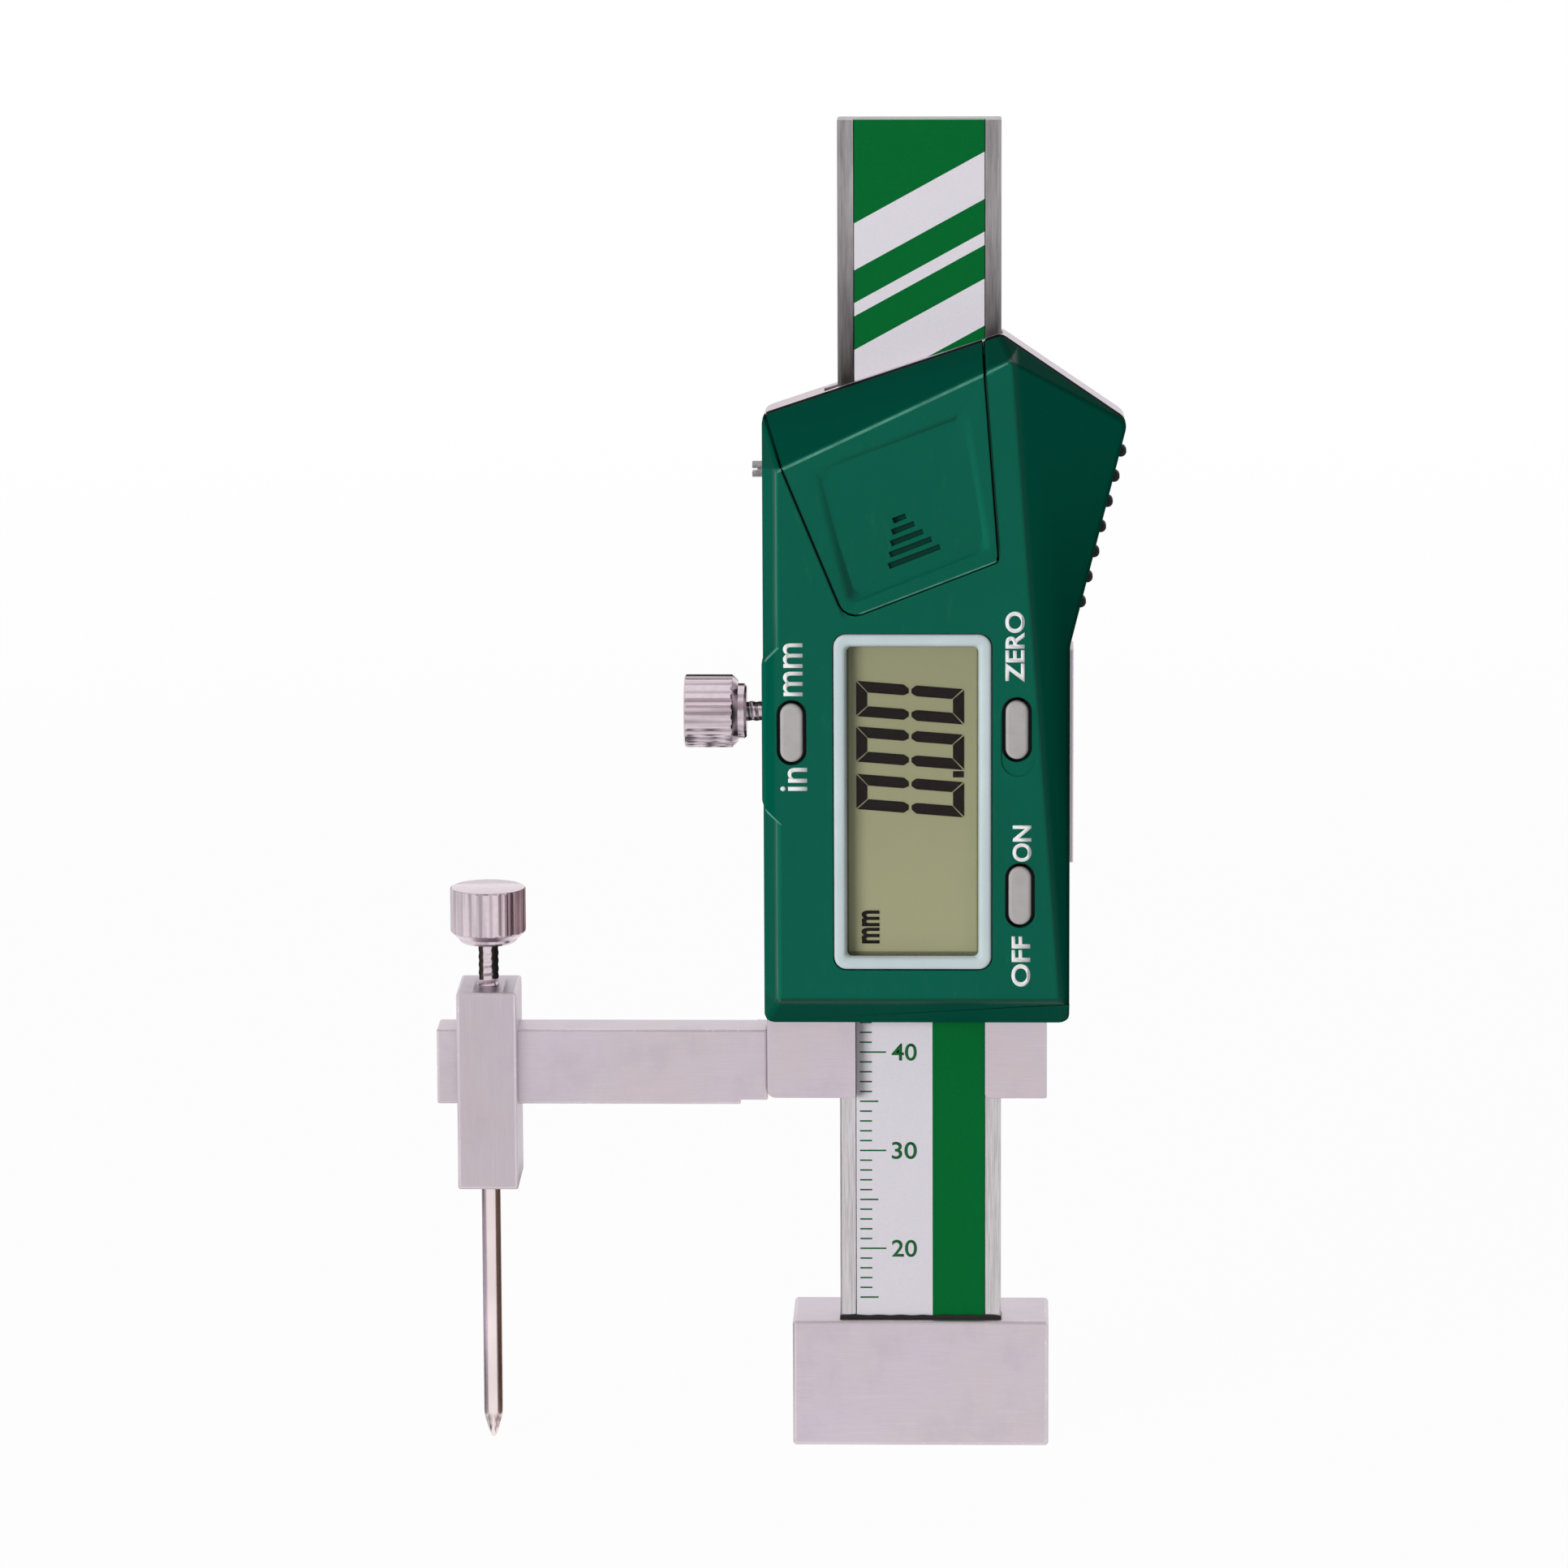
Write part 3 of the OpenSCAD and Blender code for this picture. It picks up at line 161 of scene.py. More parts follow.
class GaugeSizes(PropertyGroup):
    """Sizes of the fine detail. Everything else follows the frame."""

    ground_radius: length("Ground edge", "Radius on the edges of ground steel", 0.11)
    housing_radius: length("Housing edge", "Radius on the housing's outer edges", 0.42)
    crisp_radius: length("Crisp edge", "Radius on the highlighted edges and the face's right edge", 0.18)
    # Depth of the painted shade along the housing's foot
    gasket_depth: length("Foot shade", "Depth of the painted shade along the housing's foot", 2.0)
    seam_radius: length("Seam edge", "Radius along the battery cover's seam", 0.09)
    bezel_width: length("Bezel width", "Width of the bezel", 15.5)
    bezel_height: length("Bezel height", "Height of the bezel", 33.3)
    bezel_corner: length("Bezel corner", "Corner radius of the bezel", 1.3)
    bezel_border: length("Bezel border", "Width of the bezel's visible border", 1.35)
    button_radius: length("Button edge", "Radius on the buttons", 0.32)
    ink: length("Ink", "Height of printed letters above their face", 0.012)
    lock_length: length("Lock head length", "Length of the lock screw's knurled head", 5.3)
    clamp_length: length("Clamp head length", "Length of the clamp screw's knurled head", 5.05)
    lock_collar: length("Lock collar", "Length of the collar beside the lock screw's head", 0.85)
    clamp_collar: length("Clamp collar", "Length of the collar under the clamp screw's head", 0.55)
    collar_step: length("Collar step", "Step from a knurled head down to its collar", 0.88)
    collar_chamfer: length("Lower chamfer", "Chamfer of a knurled head beside its collar", 0.6)
    lock_head: length("Lock head", "Diameter of the lock screw's head", 7.2)
    clamp_head: length("Clamp head", "Diameter of the clamp screw's head", 7.5)
    head_chamfer: length("Head chamfer", "Rounding of a knurled head's free end", 0.3)
    flutes: IntProperty(name="Flutes", description="Grooves around a knurled head", default=22, min=8)
    flute_depth: length("Flute depth", "Depth of the knurling's grooves", 0.075)
    thread_diameter: length("Thread", "Diameter of the thumb screws' thread", 2.0)
    thread_pitch: length("Thread pitch", "Pitch of the thumb screws' thread", 0.8)
    thread_depth: length("Thread depth", "Depth of the thumb screws' thread", 0.06)
    grip_pitch: length("Rib pitch", "Distance between the thumb grip's ribs", 2.56)
    grip_rib: length("Rib", "Diameter of a rib", 1.1)
    grip_strip: length("Strip", "Thickness of the thumb grip's strip", 0.7)
    grip_tilt: angle("Grip tilt", "Tilt of the thumb grip from the vertical", 14.66)
    digit_height: length("Digit height", "Height of a display digit", 10.5)
    digit_width: length("Digit width", "Width of a display digit", 3.5)
    digit_stroke: length("Digit stroke", "Width of a display segment", 1.08)
    digit_gap: length("Digit gap", "Gap between display segments", 0.13)
    digit_slant: angle("Digit slant", "Slant of the display digits", 4.5)
    tick_pitch: length("Tick pitch", "Distance between the scale's ticks", 1.0)
    tick_width: length("Tick width", "Width of a tick", 0.16)
    panel_edge: length("Panel edge", "Right edge of the label's white panel", 1.2)


def linear(value, share=1.0):
    """A share of a screen colour as the four linear numbers that a shader takes."""
    return (*Color([min(1.0, channel * share) for channel in value]).from_srgb_to_scene_linear(), 1.0)


def mathematics(operation, swapped=False):
    """An operator method that adds a Math node."""
    def method(self, other):
        return self.bench.math(operation, *((other, self) if swapped else (self, other)))
    return method


class Wire:
    """An output socket. Arithmetic on it adds Math nodes to its tree."""

    def __init__(self, bench, socket):
        self.bench = bench
        self.socket = socket

    def beside(self, output):
        """Another output of the same node."""
        return Wire(self.bench, self.socket.node.outputs[output])

    def __abs__(self):
        return self.bench.math("ABSOLUTE", self)

    __add__ = mathematics("ADD")
    __radd__ = mathematics("ADD", swapped=True)
    __sub__ = mathematics("SUBTRACT")
    __rsub__ = mathematics("SUBTRACT", swapped=True)
    __mul__ = mathematics("MULTIPLY")
    __rmul__ = mathematics("MULTIPLY", swapped=True)
    __truediv__ = mathematics("DIVIDE")
    __pow__ = mathematics("POWER")
    __mod__ = mathematics("FLOORED_MODULO")
    __gt__ = mathematics("GREATER_THAN")
    __lt__ = mathematics("LESS_THAN")
    least = mathematics("MINIMUM")
    most = mathematics("MAXIMUM")


class Bench:
    """A node tree while it is being built."""

    def __init__(self, tree):
        self.tree = tree
        self.tree.nodes.clear()

    def node(self, kind, settings=None, inputs=None, output=0):
        """Adds a node, makes its settings, fills or joins its sockets, and gives one output."""
        made = self.tree.nodes.new(kind)
        for key, value in (settings or {}).items():
            setattr(made, key, value)
        for key, value in (inputs or {}).items():
            if isinstance(value, Wire):
                self.tree.links.new(value.socket, made.inputs[key])
            else:
                made.inputs[key].default_value = value
        return Wire(self, made.outputs[output]) if made.outputs else None

    def math(self, operation, *values):
        """A Math node on the values."""
        return self.node("ShaderNodeMath", {"operation": operation}, dict(enumerate(values)))

    def split(self, vector):
        """The X, Y and Z of a vector."""
        x = self.node("ShaderNodeSeparateXYZ", {}, {0: vector})
        return x, x.beside(1), x.beside(2)

    def join(self, x, y, z):
        """A vector from its X, Y and Z."""
        return self.node("ShaderNodeCombineXYZ", {}, {0: x, 1: y, 2: z})

    def step(self, value, low, high):
        """A smooth step from 0 at low to 1 at high."""
        return self.node(
            "ShaderNodeMapRange", {"interpolation_type": "SMOOTHSTEP"},
            {"Value": value, "From Min": low, "From Max": high},
        )

    def seen(self):
        """1 for what the camera sees, straight or through gloss and glass, and 0 for what lights."""
        ray = self.node("ShaderNodeLightPath", output="Is Camera Ray")
        return ray.most(ray.beside("Is Glossy Ray")).most(ray.beside("Is Transmission Ray"))


class Finish(Bench):
    """A material while it is being built. Its patterns follow Object coordinates."""

    def __init__(self, name):
        self.material = bpy.data.materials.new(f"{name}_finish")
        self.material.use_nodes = True
        super().__init__(self.material.node_tree)
        self.place = self.node("ShaderNodeTexCoord", output="Object")
        self.facing = self.place.beside("Normal")

    def noise(self, frequency, detail=2.0, roughness=0.55):
        """Noise with its own frequency, in waves to the metre, along X, Y and Z or along all."""
        along = frequency if isinstance(frequency, tuple) else (frequency,) * 3
        spread = self.node(
            "ShaderNodeMapping", {"vector_type": "POINT"}, {"Vector": self.place, "Scale": along}
        )
        return self.node(
            "ShaderNodeTexNoise", {},
            {"Vector": spread, "Scale": 1.0, "Detail": detail, "Roughness": roughness},
        )

    def mix(self, factor, first, second):
        """A mix of two colours."""
        return self.node(
            "ShaderNodeMix", {"data_type": "RGBA"}, {0: factor, 6: first, 7: second}, output=2
        )

    def bump(self, height, millimetres):
        """The normal of a surface whose relief is that high."""
        inputs = {"Height": height, "Distance": millimetres * MM, "Strength": 1.0}
        return self.node("ShaderNodeBump", {}, inputs)

    def principled(self, base, roughness, metallic=0.0, normal=None, **fixed):
        """A Principled shader. The fixed values go on its own sockets."""
        inputs = {"Base Color": base, "Roughness": roughness, "Metallic": metallic}
        inputs.update({key.replace("_", " "): value for key, value in fixed.items()})
        if normal:
            inputs["Normal"] = normal
        return self.node("ShaderNodeBsdfPrincipled", {}, inputs)

    def end(self, shader):
        """Ends the tree in the shader and gives the material."""
        self.node("ShaderNodeOutputMaterial", {}, {"Surface": shader})
        return self.material

    def done(self, *values, **fixed):
        """Ends the tree in one Principled shader and gives the material."""
        return self.end(self.principled(*values, **fixed))


# Finishes in two tones of one colour. "noise" makes the tones, "step" is where it goes over from
# the first to the second, which is "second" of the colour and covers "share" of the first, and
# "fine" is a finer noise for roughness and relief. "rough" is the least roughness and what the
# noise adds to it, and "relief" is in millimetres
TWO_TONE = {
    # Bright machine screws
    "bright_screw": {
        "colour": "screw", "noise": (6000, 3.0), "step": (0.3, 0.7), "second": 0.8,
        "rough": (0.24, 0.2), "metallic": 0.95, "relief": 0.001,
    },
    # Blackened screws
    "dark_screw": {
        "colour": "black_oxide", "noise": (5000, 3.0), "step": (0.55, 0.75), "second": 1.9,
        "rough": (0.38, 0.2), "metallic": 0.75, "relief": 0.001,
    },
    # The black seal, matt and uneven
    "black_sealant": {
        "colour": "seal", "noise": (2500, 3.0), "step": (0.4, 0.8), "second": 1.9,
        "rough": (0.55, 0.25), "relief": 0.02,
    },
    # Painted highlight along the housing's crisp edges, with darker random patches
    "green_edge": {
        "colour": "housing_edge", "noise": (700, 4.0, 0.7), "step": (0.3, 0.75), "second": 0.8,
        "fine": (9500, 2.0), "rough": (0.34, 0.1), "relief": 0.001, "gloss": 0.2,
    },
    # The black thumb grip, a little dusty
    "grip_rubber": {
        "colour": "rubber", "noise": (600, 4.0, 0.7), "step": (0.5, 0.9), "second": 1.8,
        "fine": (7000, 3.0), "rough": (0.6, 0.2), "relief": 0.004, "gloss": 0.35,
    },
    # The pale bezel, half gloss
    "bezel_plastic": {
        "colour": "bezel", "noise": (120, 2.0), "step": (0.35, 0.7), "second": 0.965,
        "fine": (8000, 2.0), "rough": (0.26, 0.1), "relief": 0.0008, "gloss": 0.4,
    },
    # Switched segments, nearly black
    "lcd_segment": {
        "colour": "segment", "noise": (9000, 1.0), "second": 1.3, "rough": (0.5, 0.1), "gloss": 0.2,
    },
    # White printed words
    "letter_ink": {
        "colour": "letter", "noise": (11000, 2.0), "step": (0.55, 0.8), "share": 0.6, "second": 0.9,
        "rough": (0.5, 0.1), "gloss": 0.3,
    },
    # Conductive rubber in fine layers
    "strip_rubber": {
        "colour": "strip", "noise": ((300, 300, 9000), 1.0), "step": (0.4, 0.6), "second": 0.55,
        "rough": (0.6, 0.1),
    },
    # Matt moulding compound
    "chip_resin": {
        "colour": "resin", "noise": (14000, 2.0), "second": 1.7, "rough": (0.6, 0.15), "relief": 0.004,
    },
    # The gib strip, scraped and oiled
    "bronze": {
        "colour": "bronze", "noise": ((900, 9000, 2500), 3.0), "step": (0.35, 0.7), "second": 0.8,
        "rough": (0.25, 0.2), "metallic": 0.95, "relief": 0.002,
    },
    # Plated spring contacts
    "contact_spring": {
        "colour": "spring", "noise": ((700, 9000, 9000), 3.0), "step": (0.4, 0.7), "second": 0.85,
        "rough": (0.2, 0.15), "metallic": 0.96,
    },
}


def two_tone(colours, name):
    """A finish from the table above."""
    look = TWO_TONE[name]
    made = Finish(name)
    base = getattr(colours, look["colour"])
    pattern = made.noise(*look["noise"])
    grain = made.noise(*look["fine"]) if "fine" in look else pattern
    mask = made.step(pattern, *look["step"]) if "step" in look else pattern
    if "share" in look:
        mask = mask * look["share"]
    tone = made.mix(mask, linear(base), linear(base, look["second"]))
    least, added = look["rough"]
    normal = made.bump(grain, look["relief"]) if "relief" in look else None
    fixed = {"Specular_IOR_Level": look["gloss"]} if "gloss" in look else {}
    metallic = look.get("metallic", 0.0)
    return made.done(tone, least + added * grain, metallic=metallic, normal=normal, **fixed)


def ground(colours, name):
    """Ground steel: fine lines along the grinding direction over soft clouds."""
    steel, warm = colours.ground_steel, colours.ground_warm
    base, tint, lay, wear = {
        # The base block, the arm, the slider's frame and its back plate, ground across
        "ground_steel": (steel, warm, (420, 15000, 15000), 0.3),
        # The chamfered and rounded edges of ground steel, lighter: edge wear and a painted highlight
        "ground_edge": (colours.steel_edge, steel, (4000, 4000, 4000), 0.5),
        # The clamp block, ground along its height
        "upright_steel": ([c * 0.955 for c in steel], [c * 0.955 for c in warm], (15000, 15000, 420), 0.3),
    }[name]
    made = Finish(name)
    lines = made.noise(lay, 3.0, 0.65)
    scratches = made.noise(tuple(f * 0.35 for f in lay), 1.0)
    clouds = made.noise(70, 3.0)
    stains = made.noise(190, 4.0, 0.65)
    tone = made.mix(made.step(clouds, 0.35, 0.68), linear(base), linear(tint))
    tone = made.mix(made.step(stains, 0.45, 0.75) * 0.6, tone, linear(base, 0.93))
    tone = made.mix(made.step(lines, 0.30, 0.72) * 0.35, tone, linear(base, 0.94))
    tone = made.mix(made.step(scratches, 0.62, 0.78) * wear, tone, linear(base, 1.06))
    normal = made.bump(lines + 0.5 * scratches, 0.0012)
    return made.done(tone, 0.30 + 0.12 * lines + 0.10 * clouds, metallic=0.94, normal=normal)


def beam_steel(colours, name):
    """The beam, ground lengthwise, with painted shade and dark reflection above the slider."""
    made = Finish(name)
    low, high = FACE_BOX
    _, _, z = made.split(made.place)
    lines = made.noise((14000, 14000, 260), 3.0, 0.7)
    patches = made.noise((500, 500, 75), 3.0, 0.7)
    # Painted shade and dark reflection: darker up the beam towards the housing's top, paler above it, in
    # patches
    dark = made.step(z, low.z, high.z - 12 * MM) * (0.92 + 0.6 * (patches - 0.5))
    dark = dark + made.step(z, high.z - 6 * MM, high.z + 14 * MM) * -0.48
    tone = made.mix(dark, linear(colours.beam_low), linear(colours.beam_high))
    tone = made.mix(made.step(lines, 0.35, 0.75) * 0.4, tone, linear(colours.beam_high, 0.86))
    return made.done(tone, 0.24 + 0.16 * lines, metallic=0.95, normal=made.bump(lines, 0.0014))


def turned(colours, name):
    """A thumb screw, turned around its axis, with painted shade in the knurling's grooves and painted dark
    reflection streaks along its sides.
    """
    made = Finish(name)
    sizes = bpy.context.scene.gauge_sizes
    x, y, z = made.split(made.place)
    along_x, _, along_z = made.split(made.facing)
    if name == "clamp_steel":
        at = centre("clamp_screw")
        across, facing, radius = (x - at.x, y - at.y), along_z, sizes.clamp_head / 2
        lay, drag = (900, 900, 16000), (650, 650, 30)
    else:
        at = centre("lock_screw")
        across, facing, radius = (y - at.y, z - at.z), along_x, sizes.lock_head / 2
        lay, drag = (16000, 900, 900), (30, 650, 650)
    radial = (across[0] * across[0] + across[1] * across[1]) ** 0.5
    lines = made.noise(lay, 2.0, 0.7)
    marks = made.noise(1500, 4.0, 0.7)
    streaks = made.noise(drag, 3.0, 0.7)
    flank = made.step(facing * facing, 0.6, 0.2)
    depth = sizes.flute_depth
    groove = made.step(radial, radius - 0.3 * depth, radius - depth) * (radial > radius - 1.6 * depth)
    tone = made.mix(made.step(marks, 0.4, 0.75) * 0.5, linear(colours.knurl), linear(colours.knurl, 0.92))
    # Painted reflection: dark streaks along the turned sides
    tone = made.mix(made.step(streaks, 0.42, 0.72) * flank * 0.85, tone, linear(colours.knurl, 0.72))
    # Painted shade in the knurling's grooves
    tone = made.mix(groove * 0.4, tone, linear(colours.knurl_groove))
    roughness = 0.15 + 0.10 * lines + 0.05 * marks
    return made.done(tone, roughness, metallic=0.97, normal=made.bump(lines, 0.0006))


def needle_steel(colours, name):
    """The needle, hardened and polished along its length."""
    made = Finish(name)
    drawn = made.noise((9000, 9000, 60), 3.0, 0.6)
    clouds = made.noise((200, 200, 110))
    tone = made.mix(made.step(clouds, 0.35, 0.7), linear(colours.needle), linear(colours.needle, 0.95))
    roughness = 0.17 + 0.10 * drawn + 0.04 * clouds
    return made.done(tone, roughness, metallic=0.98, normal=made.bump(drawn, 0.0003))


def beyond(x, z, start, end):
    """The distance of (x, z) beyond the line, on its right when it is followed from the start."""
    along = (end - start).normalized()
    return (x - start.x) * along.y - (z - start.y) * along.x


def green_plastic(colours, name):
    """The housing and the battery cover: moulded plastic with a fine spark-eroded grain.

    The bevels around the front face are matt, with painted shade that makes them darker than
    the face. Painted shade also darkens the thumb recess's walls that face right or down, the deep
    recesses, the side seams and a matt band along the foot by the frame, and a painted highlight
    lightens the walls that face left."""
    made = Finish(name)
    base = colours.housing
    pits = made.noise(9500, 2.0, 0.6)
    clouds = made.noise(55, 3.0)
    rubs = made.noise((900, 900, 260), 4.0, 0.75)
    tone = made.mix(made.step(clouds, 0.3, 0.7) * 0.55, linear(base), linear(base, 0.93))
    tone = made.mix(made.step(pits, 0.55, 0.8) * 0.25, tone, linear(base, 1.10))
    tone = made.mix(made.step(rubs, 0.55, 0.85) * 0.10, tone, linear(colours.housing_edge))
    x, y, z = made.split(made.place)

    def past(start, end, near, far):
        return made.step(beyond(x, z, start, end), near * MM, far * MM)

    def seam(start, end):
        off = beyond(x, z, start, end)
        near = made.step(off * off, (0.22 * MM) ** 2, (0.11 * MM) ** 2)
        return near * made.step(z, end.y - 0.2 * MM, end.y + 1.6 * MM)

    # Painted shade: the bevels above, beside and below the face are shaded darker than it
    above = past(FACE_APEX, FACE_SHOULDER, 0.05, 0.3)
    beside = past(FACE_LOW_RIGHT, FACE_APEX, 0.1, 0.8)
    below = past(FACE_LOW_LEFT, FACE_LOW_RIGHT, 0.1, 0.8)
    outside = above.most(beside).most(below).most(past(FACE_SHOULDER, FACE_LOW_LEFT, 0.1, 0.5))
    inside = 1.0 - outside
    # Painted shade: a darker strip along the housing's right edge, strongest low down
    outer = past(FACE_LOW_RIGHT, FACE_APEX, 0.8, 3.6) * made.step(z, 104 * MM, 64 * MM)
    front, back = FACE_BOX
    across, _, up = made.split(made.facing)
    # Painted shade on the walls that face right or down
    wall = made.step(across, 0.15, 0.5) + made.step(up, -0.15, -0.5)
    # Painted shade and light, row by row: the mask, its share and the tone that it goes to
    for mask, share, second in (
        (above, 0.9, 0.80),
        (beside, 0.8, 0.84),
        # Painted shade, darker on the lower part of the right bevel
        (made.step(z, FACE_APEX.y, FACE_LOW_RIGHT.y) * beside, 0.8, 0.72),
        (below, 0.8, 0.86),
        (outer, 0.85, 0.34),
        (wall.least(1.0) * inside, 1.0, 0.74),
        # Painted highlight on the walls that face left
        (made.step(across, -0.2, -0.6) * inside, 0.6, 1.15),
        # Painted shade deep in the recesses
        (made.step(y, front.y + 0.60 * MM, front.y + 0.72 * MM) * inside, 0.85, 0.42),
        # Painted shade along the side seams
        (seam(*SEAMS[0]), 0.85, 0.34),
        (seam(*SEAMS[1]), 0.85, 0.34),
    ):
        tone = made.mix(mask * share, tone, linear(base, second))
    # Painted shade: a dark, matt band along the foot by the frame
    foot_at = back.y - bpy.context.scene.gauge_sizes.gasket_depth
    foot = made.step(y, foot_at - 0.05 * MM, foot_at + 0.05 * MM)
    tone = made.mix(foot, tone, linear(colours.gasket))
    normal = made.bump(pits, 0.0032)
    roughness = 0.46 + 0.12 * pits - 0.08 * made.step(rubs, 0.5, 0.8)
    polish = made.principled(tone, roughness, normal=normal, Specular_IOR_Level=0.14)
    dull = made.principled(tone, 0.75 + 0.1 * pits, normal=normal, Specular_IOR_Level=0.02)
    return made.end(made.node("ShaderNodeMixShader", {}, {0: outside.most(foot), 1: polish, 2: dull}))


def clear_window(colours, name):
    """The clear window, nearly unseen but for its gloss."""
    made = Finish(name)
    wipes = made.noise((60, 60, 900), 3.0)
    return made.done(linear(colours.window), 0.05 + 0.06 * wipes, Alpha=0.07, Specular_IOR_Level=0.6)


def lcd(colours, name):
    """The olive reflector behind the liquid crystal, with painted shade towards its top and sides and along
    the bezel.
    """
    made = Finish(name)
    low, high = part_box("lcd_glass")
    middle = (low + high) / 2
    sizes = bpy.context.scene.gauge_sizes
    x, _, z = made.split(made.place)
    speck = made.noise(12000, 1.0)
    side = made.step(abs(x - middle.x), 4 * MM, 7 * MM)
    rim = (abs(x - middle.x) - (sizes.bezel_width / 2 - sizes.bezel_border)).most(
        abs(z - middle.z) - (sizes.bezel_height / 2 - sizes.bezel_border)
    )
    tone = linear(colours.lcd)
    # Painted shade: darker towards the top and the sides, darkest in a band along the bezel's inner edge;
    # then a faint random speckle
    for mask, second in (
        (made.step(z, low.z, high.z), 0.90),
        (side * 0.6, 0.93),
        (made.step(rim, -0.28 * MM, -0.08 * MM) * 0.8, 0.5),
        (made.step(speck, 0.3, 0.7) * 0.3, 0.96),
    ):
        tone = made.mix(mask, tone, linear(colours.lcd, second))
    return made.done(tone, 0.42 + 0.08 * speck, Specular_IOR_Level=0.3)


def button_plastic(colours, name):
    """The pale push buttons, in shade down in their holes."""
    made = Finish(name)
    fine = made.noise(9000)
    touch = made.noise(700, 3.0)
    front = FACE_BOX[0].y
    _, y, _ = made.split(made.place)
    tone = made.mix(made.step(touch, 0.35, 0.75), linear(colours.button), linear(colours.button, 0.95))
    sunk = made.step(y, front + 0.02 * MM, front + 0.5 * MM)
    tone = made.mix(sunk, tone, linear(colours.button, 0.08))
    return made.done(tone, 0.42 + 0.14 * fine, normal=made.bump(fine, 0.002), Specular_IOR_Level=0.35)


def scale_print(colours, name):
    """The beam's printed label: a white panel below, and slanting white bands above."""
    made = Finish(name)
    x, _, z = made.split(made.place)
    x = x / MM
    slant = z / MM - 0.55 * x
    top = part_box("scale_label")[1].z / MM
    white = (x < bpy.context.scene.gauge_sizes.panel_edge / MM) * (slant < top - 64)
    for start, width in ((6.6, 4.6), (14.4, 1.3), (19.0, 4.6), (33.0, 4.6), (40.8, 1.3), (46.4, 4.6)):
        white = white.most((slant < top - start) * (slant > top - start - width))
    grain = made.noise(9000)
    patch = made.step(grain, 0.4, 0.8)
    green = made.mix(patch, linear(colours.print_green), linear(colours.print_green, 1.06))
    pale = made.mix(patch, linear(colours.print_white), linear(colours.print_white, 0.97))
    return made.done(made.mix(white, green, pale), 0.4 + 0.1 * grain, Specular_IOR_Level=0.08)


def scale_ink(colours, name):
    """Green ticks and figures on the label's white panel."""
    made = Finish(name)
    grain = made.noise(9000)
    tone = made.mix(grain, linear(colours.print_green, 0.85), linear(colours.print_green))
    return made.done(tone, 0.36 + 0.1 * grain, Specular_IOR_Level=0.3)


def board_laminate(colours, name):
    """Solder mask over copper tracks."""
    made = Finish(name)
    bricks = {"Scale": 420.0, "Mortar Size": 0.03, "Brick Width": 0.9, "Row Height": 0.32}
    tracks = made.node("ShaderNodeTexBrick", {}, {"Vector": made.place, **bricks}, output="Fac")
    weave = made.noise(5000)
    tone = made.mix(tracks, linear(colours.solder_mask), linear(colours.copper))
    tone = made.mix(weave * 0.25, tone, linear(colours.solder_mask, 0.7))
    return made.done(tone, 0.28 + 0.1 * weave, normal=made.bump(tracks, 0.01))


def cell_can(colours, name):
    """The nickel can of the button cell, with a pressed plus sign."""
    made = Finish(name)
    middle = centre("battery_cell")
    x, _, z = made.split(made.place)
    across, up = abs(x - middle.x), abs(z - middle.z)
    arm, bar = 1.9 * MM, 0.28 * MM
    plus = ((across < arm) * (up < bar)).most((up < arm) * (across < bar))
    brushed = made.noise((500, 500, 9000), 3.0)
    tone = made.mix(made.step(brushed, 0.35, 0.7), linear(colours.can), linear(colours.can, 0.88))
    tone = made.mix(plus * 0.7, tone, linear(colours.can, 0.55))
    return made.done(tone, 0.22 + 0.15 * brushed, metallic=0.95, normal=made.bump(1.0 - plus, 0.04))


FINISHES = {
    **dict.fromkeys(TWO_TONE, two_tone),
    **dict.fromkeys(("ground_steel", "ground_edge", "upright_steel"), ground),
    **dict.fromkeys(("lock_steel", "clamp_steel"), turned),
    **{maker.__name__: maker for maker in (
        beam_steel, needle_steel, green_plastic, clear_window, lcd, button_plastic, scale_print,
        scale_ink, board_laminate, cell_can,
    )},
}


def finish_of(name):
    """The material of that name, built the first time that it is asked for."""
    found = bpy.data.materials.get(f"{name}_finish")
    return found or FINISHES[name](bpy.context.scene.gauge_colours, name)


def centre(node):
    """The middle of a CAD node's box."""
    low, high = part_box(node)
    return (low + high) / 2


def reach(points):
    """The lowest and the highest corner of some points."""
    return [Vector([pick(point[i] for point in points) for i in range(3)]) for pick in (min, max)]


def moved(x, y, z):
    """A shift."""
    return Matrix.Translation((x, y, z))


def show(piece, finishes, body, replaces=()):
    """Gives a piece its finishes, its body and the CAD nodes that it stands for."""
    piece.data.materials.clear()
    for name in finishes:
        piece.data.materials.append(finish_of(name))
    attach(piece, body)
    if replaces:
        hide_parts(*replaces)
    return piece


def add_object(name, mesh):
    """A new object at the origin."""
    piece = bpy.data.objects.new(name, mesh)
    bpy.context.scene.collection.objects.link(piece)
    return piece


def settled(form, mesh, outwards=False):
    """The mesh with the bmesh written to it, its faces turned outwards where that is asked."""
    if outwards:
        bmesh.ops.recalc_face_normals(form, faces=form.faces[:])
    form.to_mesh(mesh)
    form.free()
    return mesh


def mesh_of(name, points, faces, outwards=False):
    """A mesh from its points and faces, checked and, where that is asked, turned outwards."""
    mesh = bpy.data.meshes.new(name)
    mesh.from_pydata([tuple(p) for p in points], [], faces)
    mesh.validate()
    if outwards:
        form = bmesh.new()
        form.from_mesh(mesh)
        settled(form, mesh, outwards=True)
    return mesh


def plain(source, name):
    """The object's evaluated shape as a new plain object. The source is removed."""
    graph = bpy.context.evaluated_depsgraph_get()
    graph.update()
    mesh = bpy.data.meshes.new_from_object(source.evaluated_get(graph), depsgraph=graph)
    mesh.name = name
    bpy.data.objects.remove(source)
    return add_object(name, mesh)


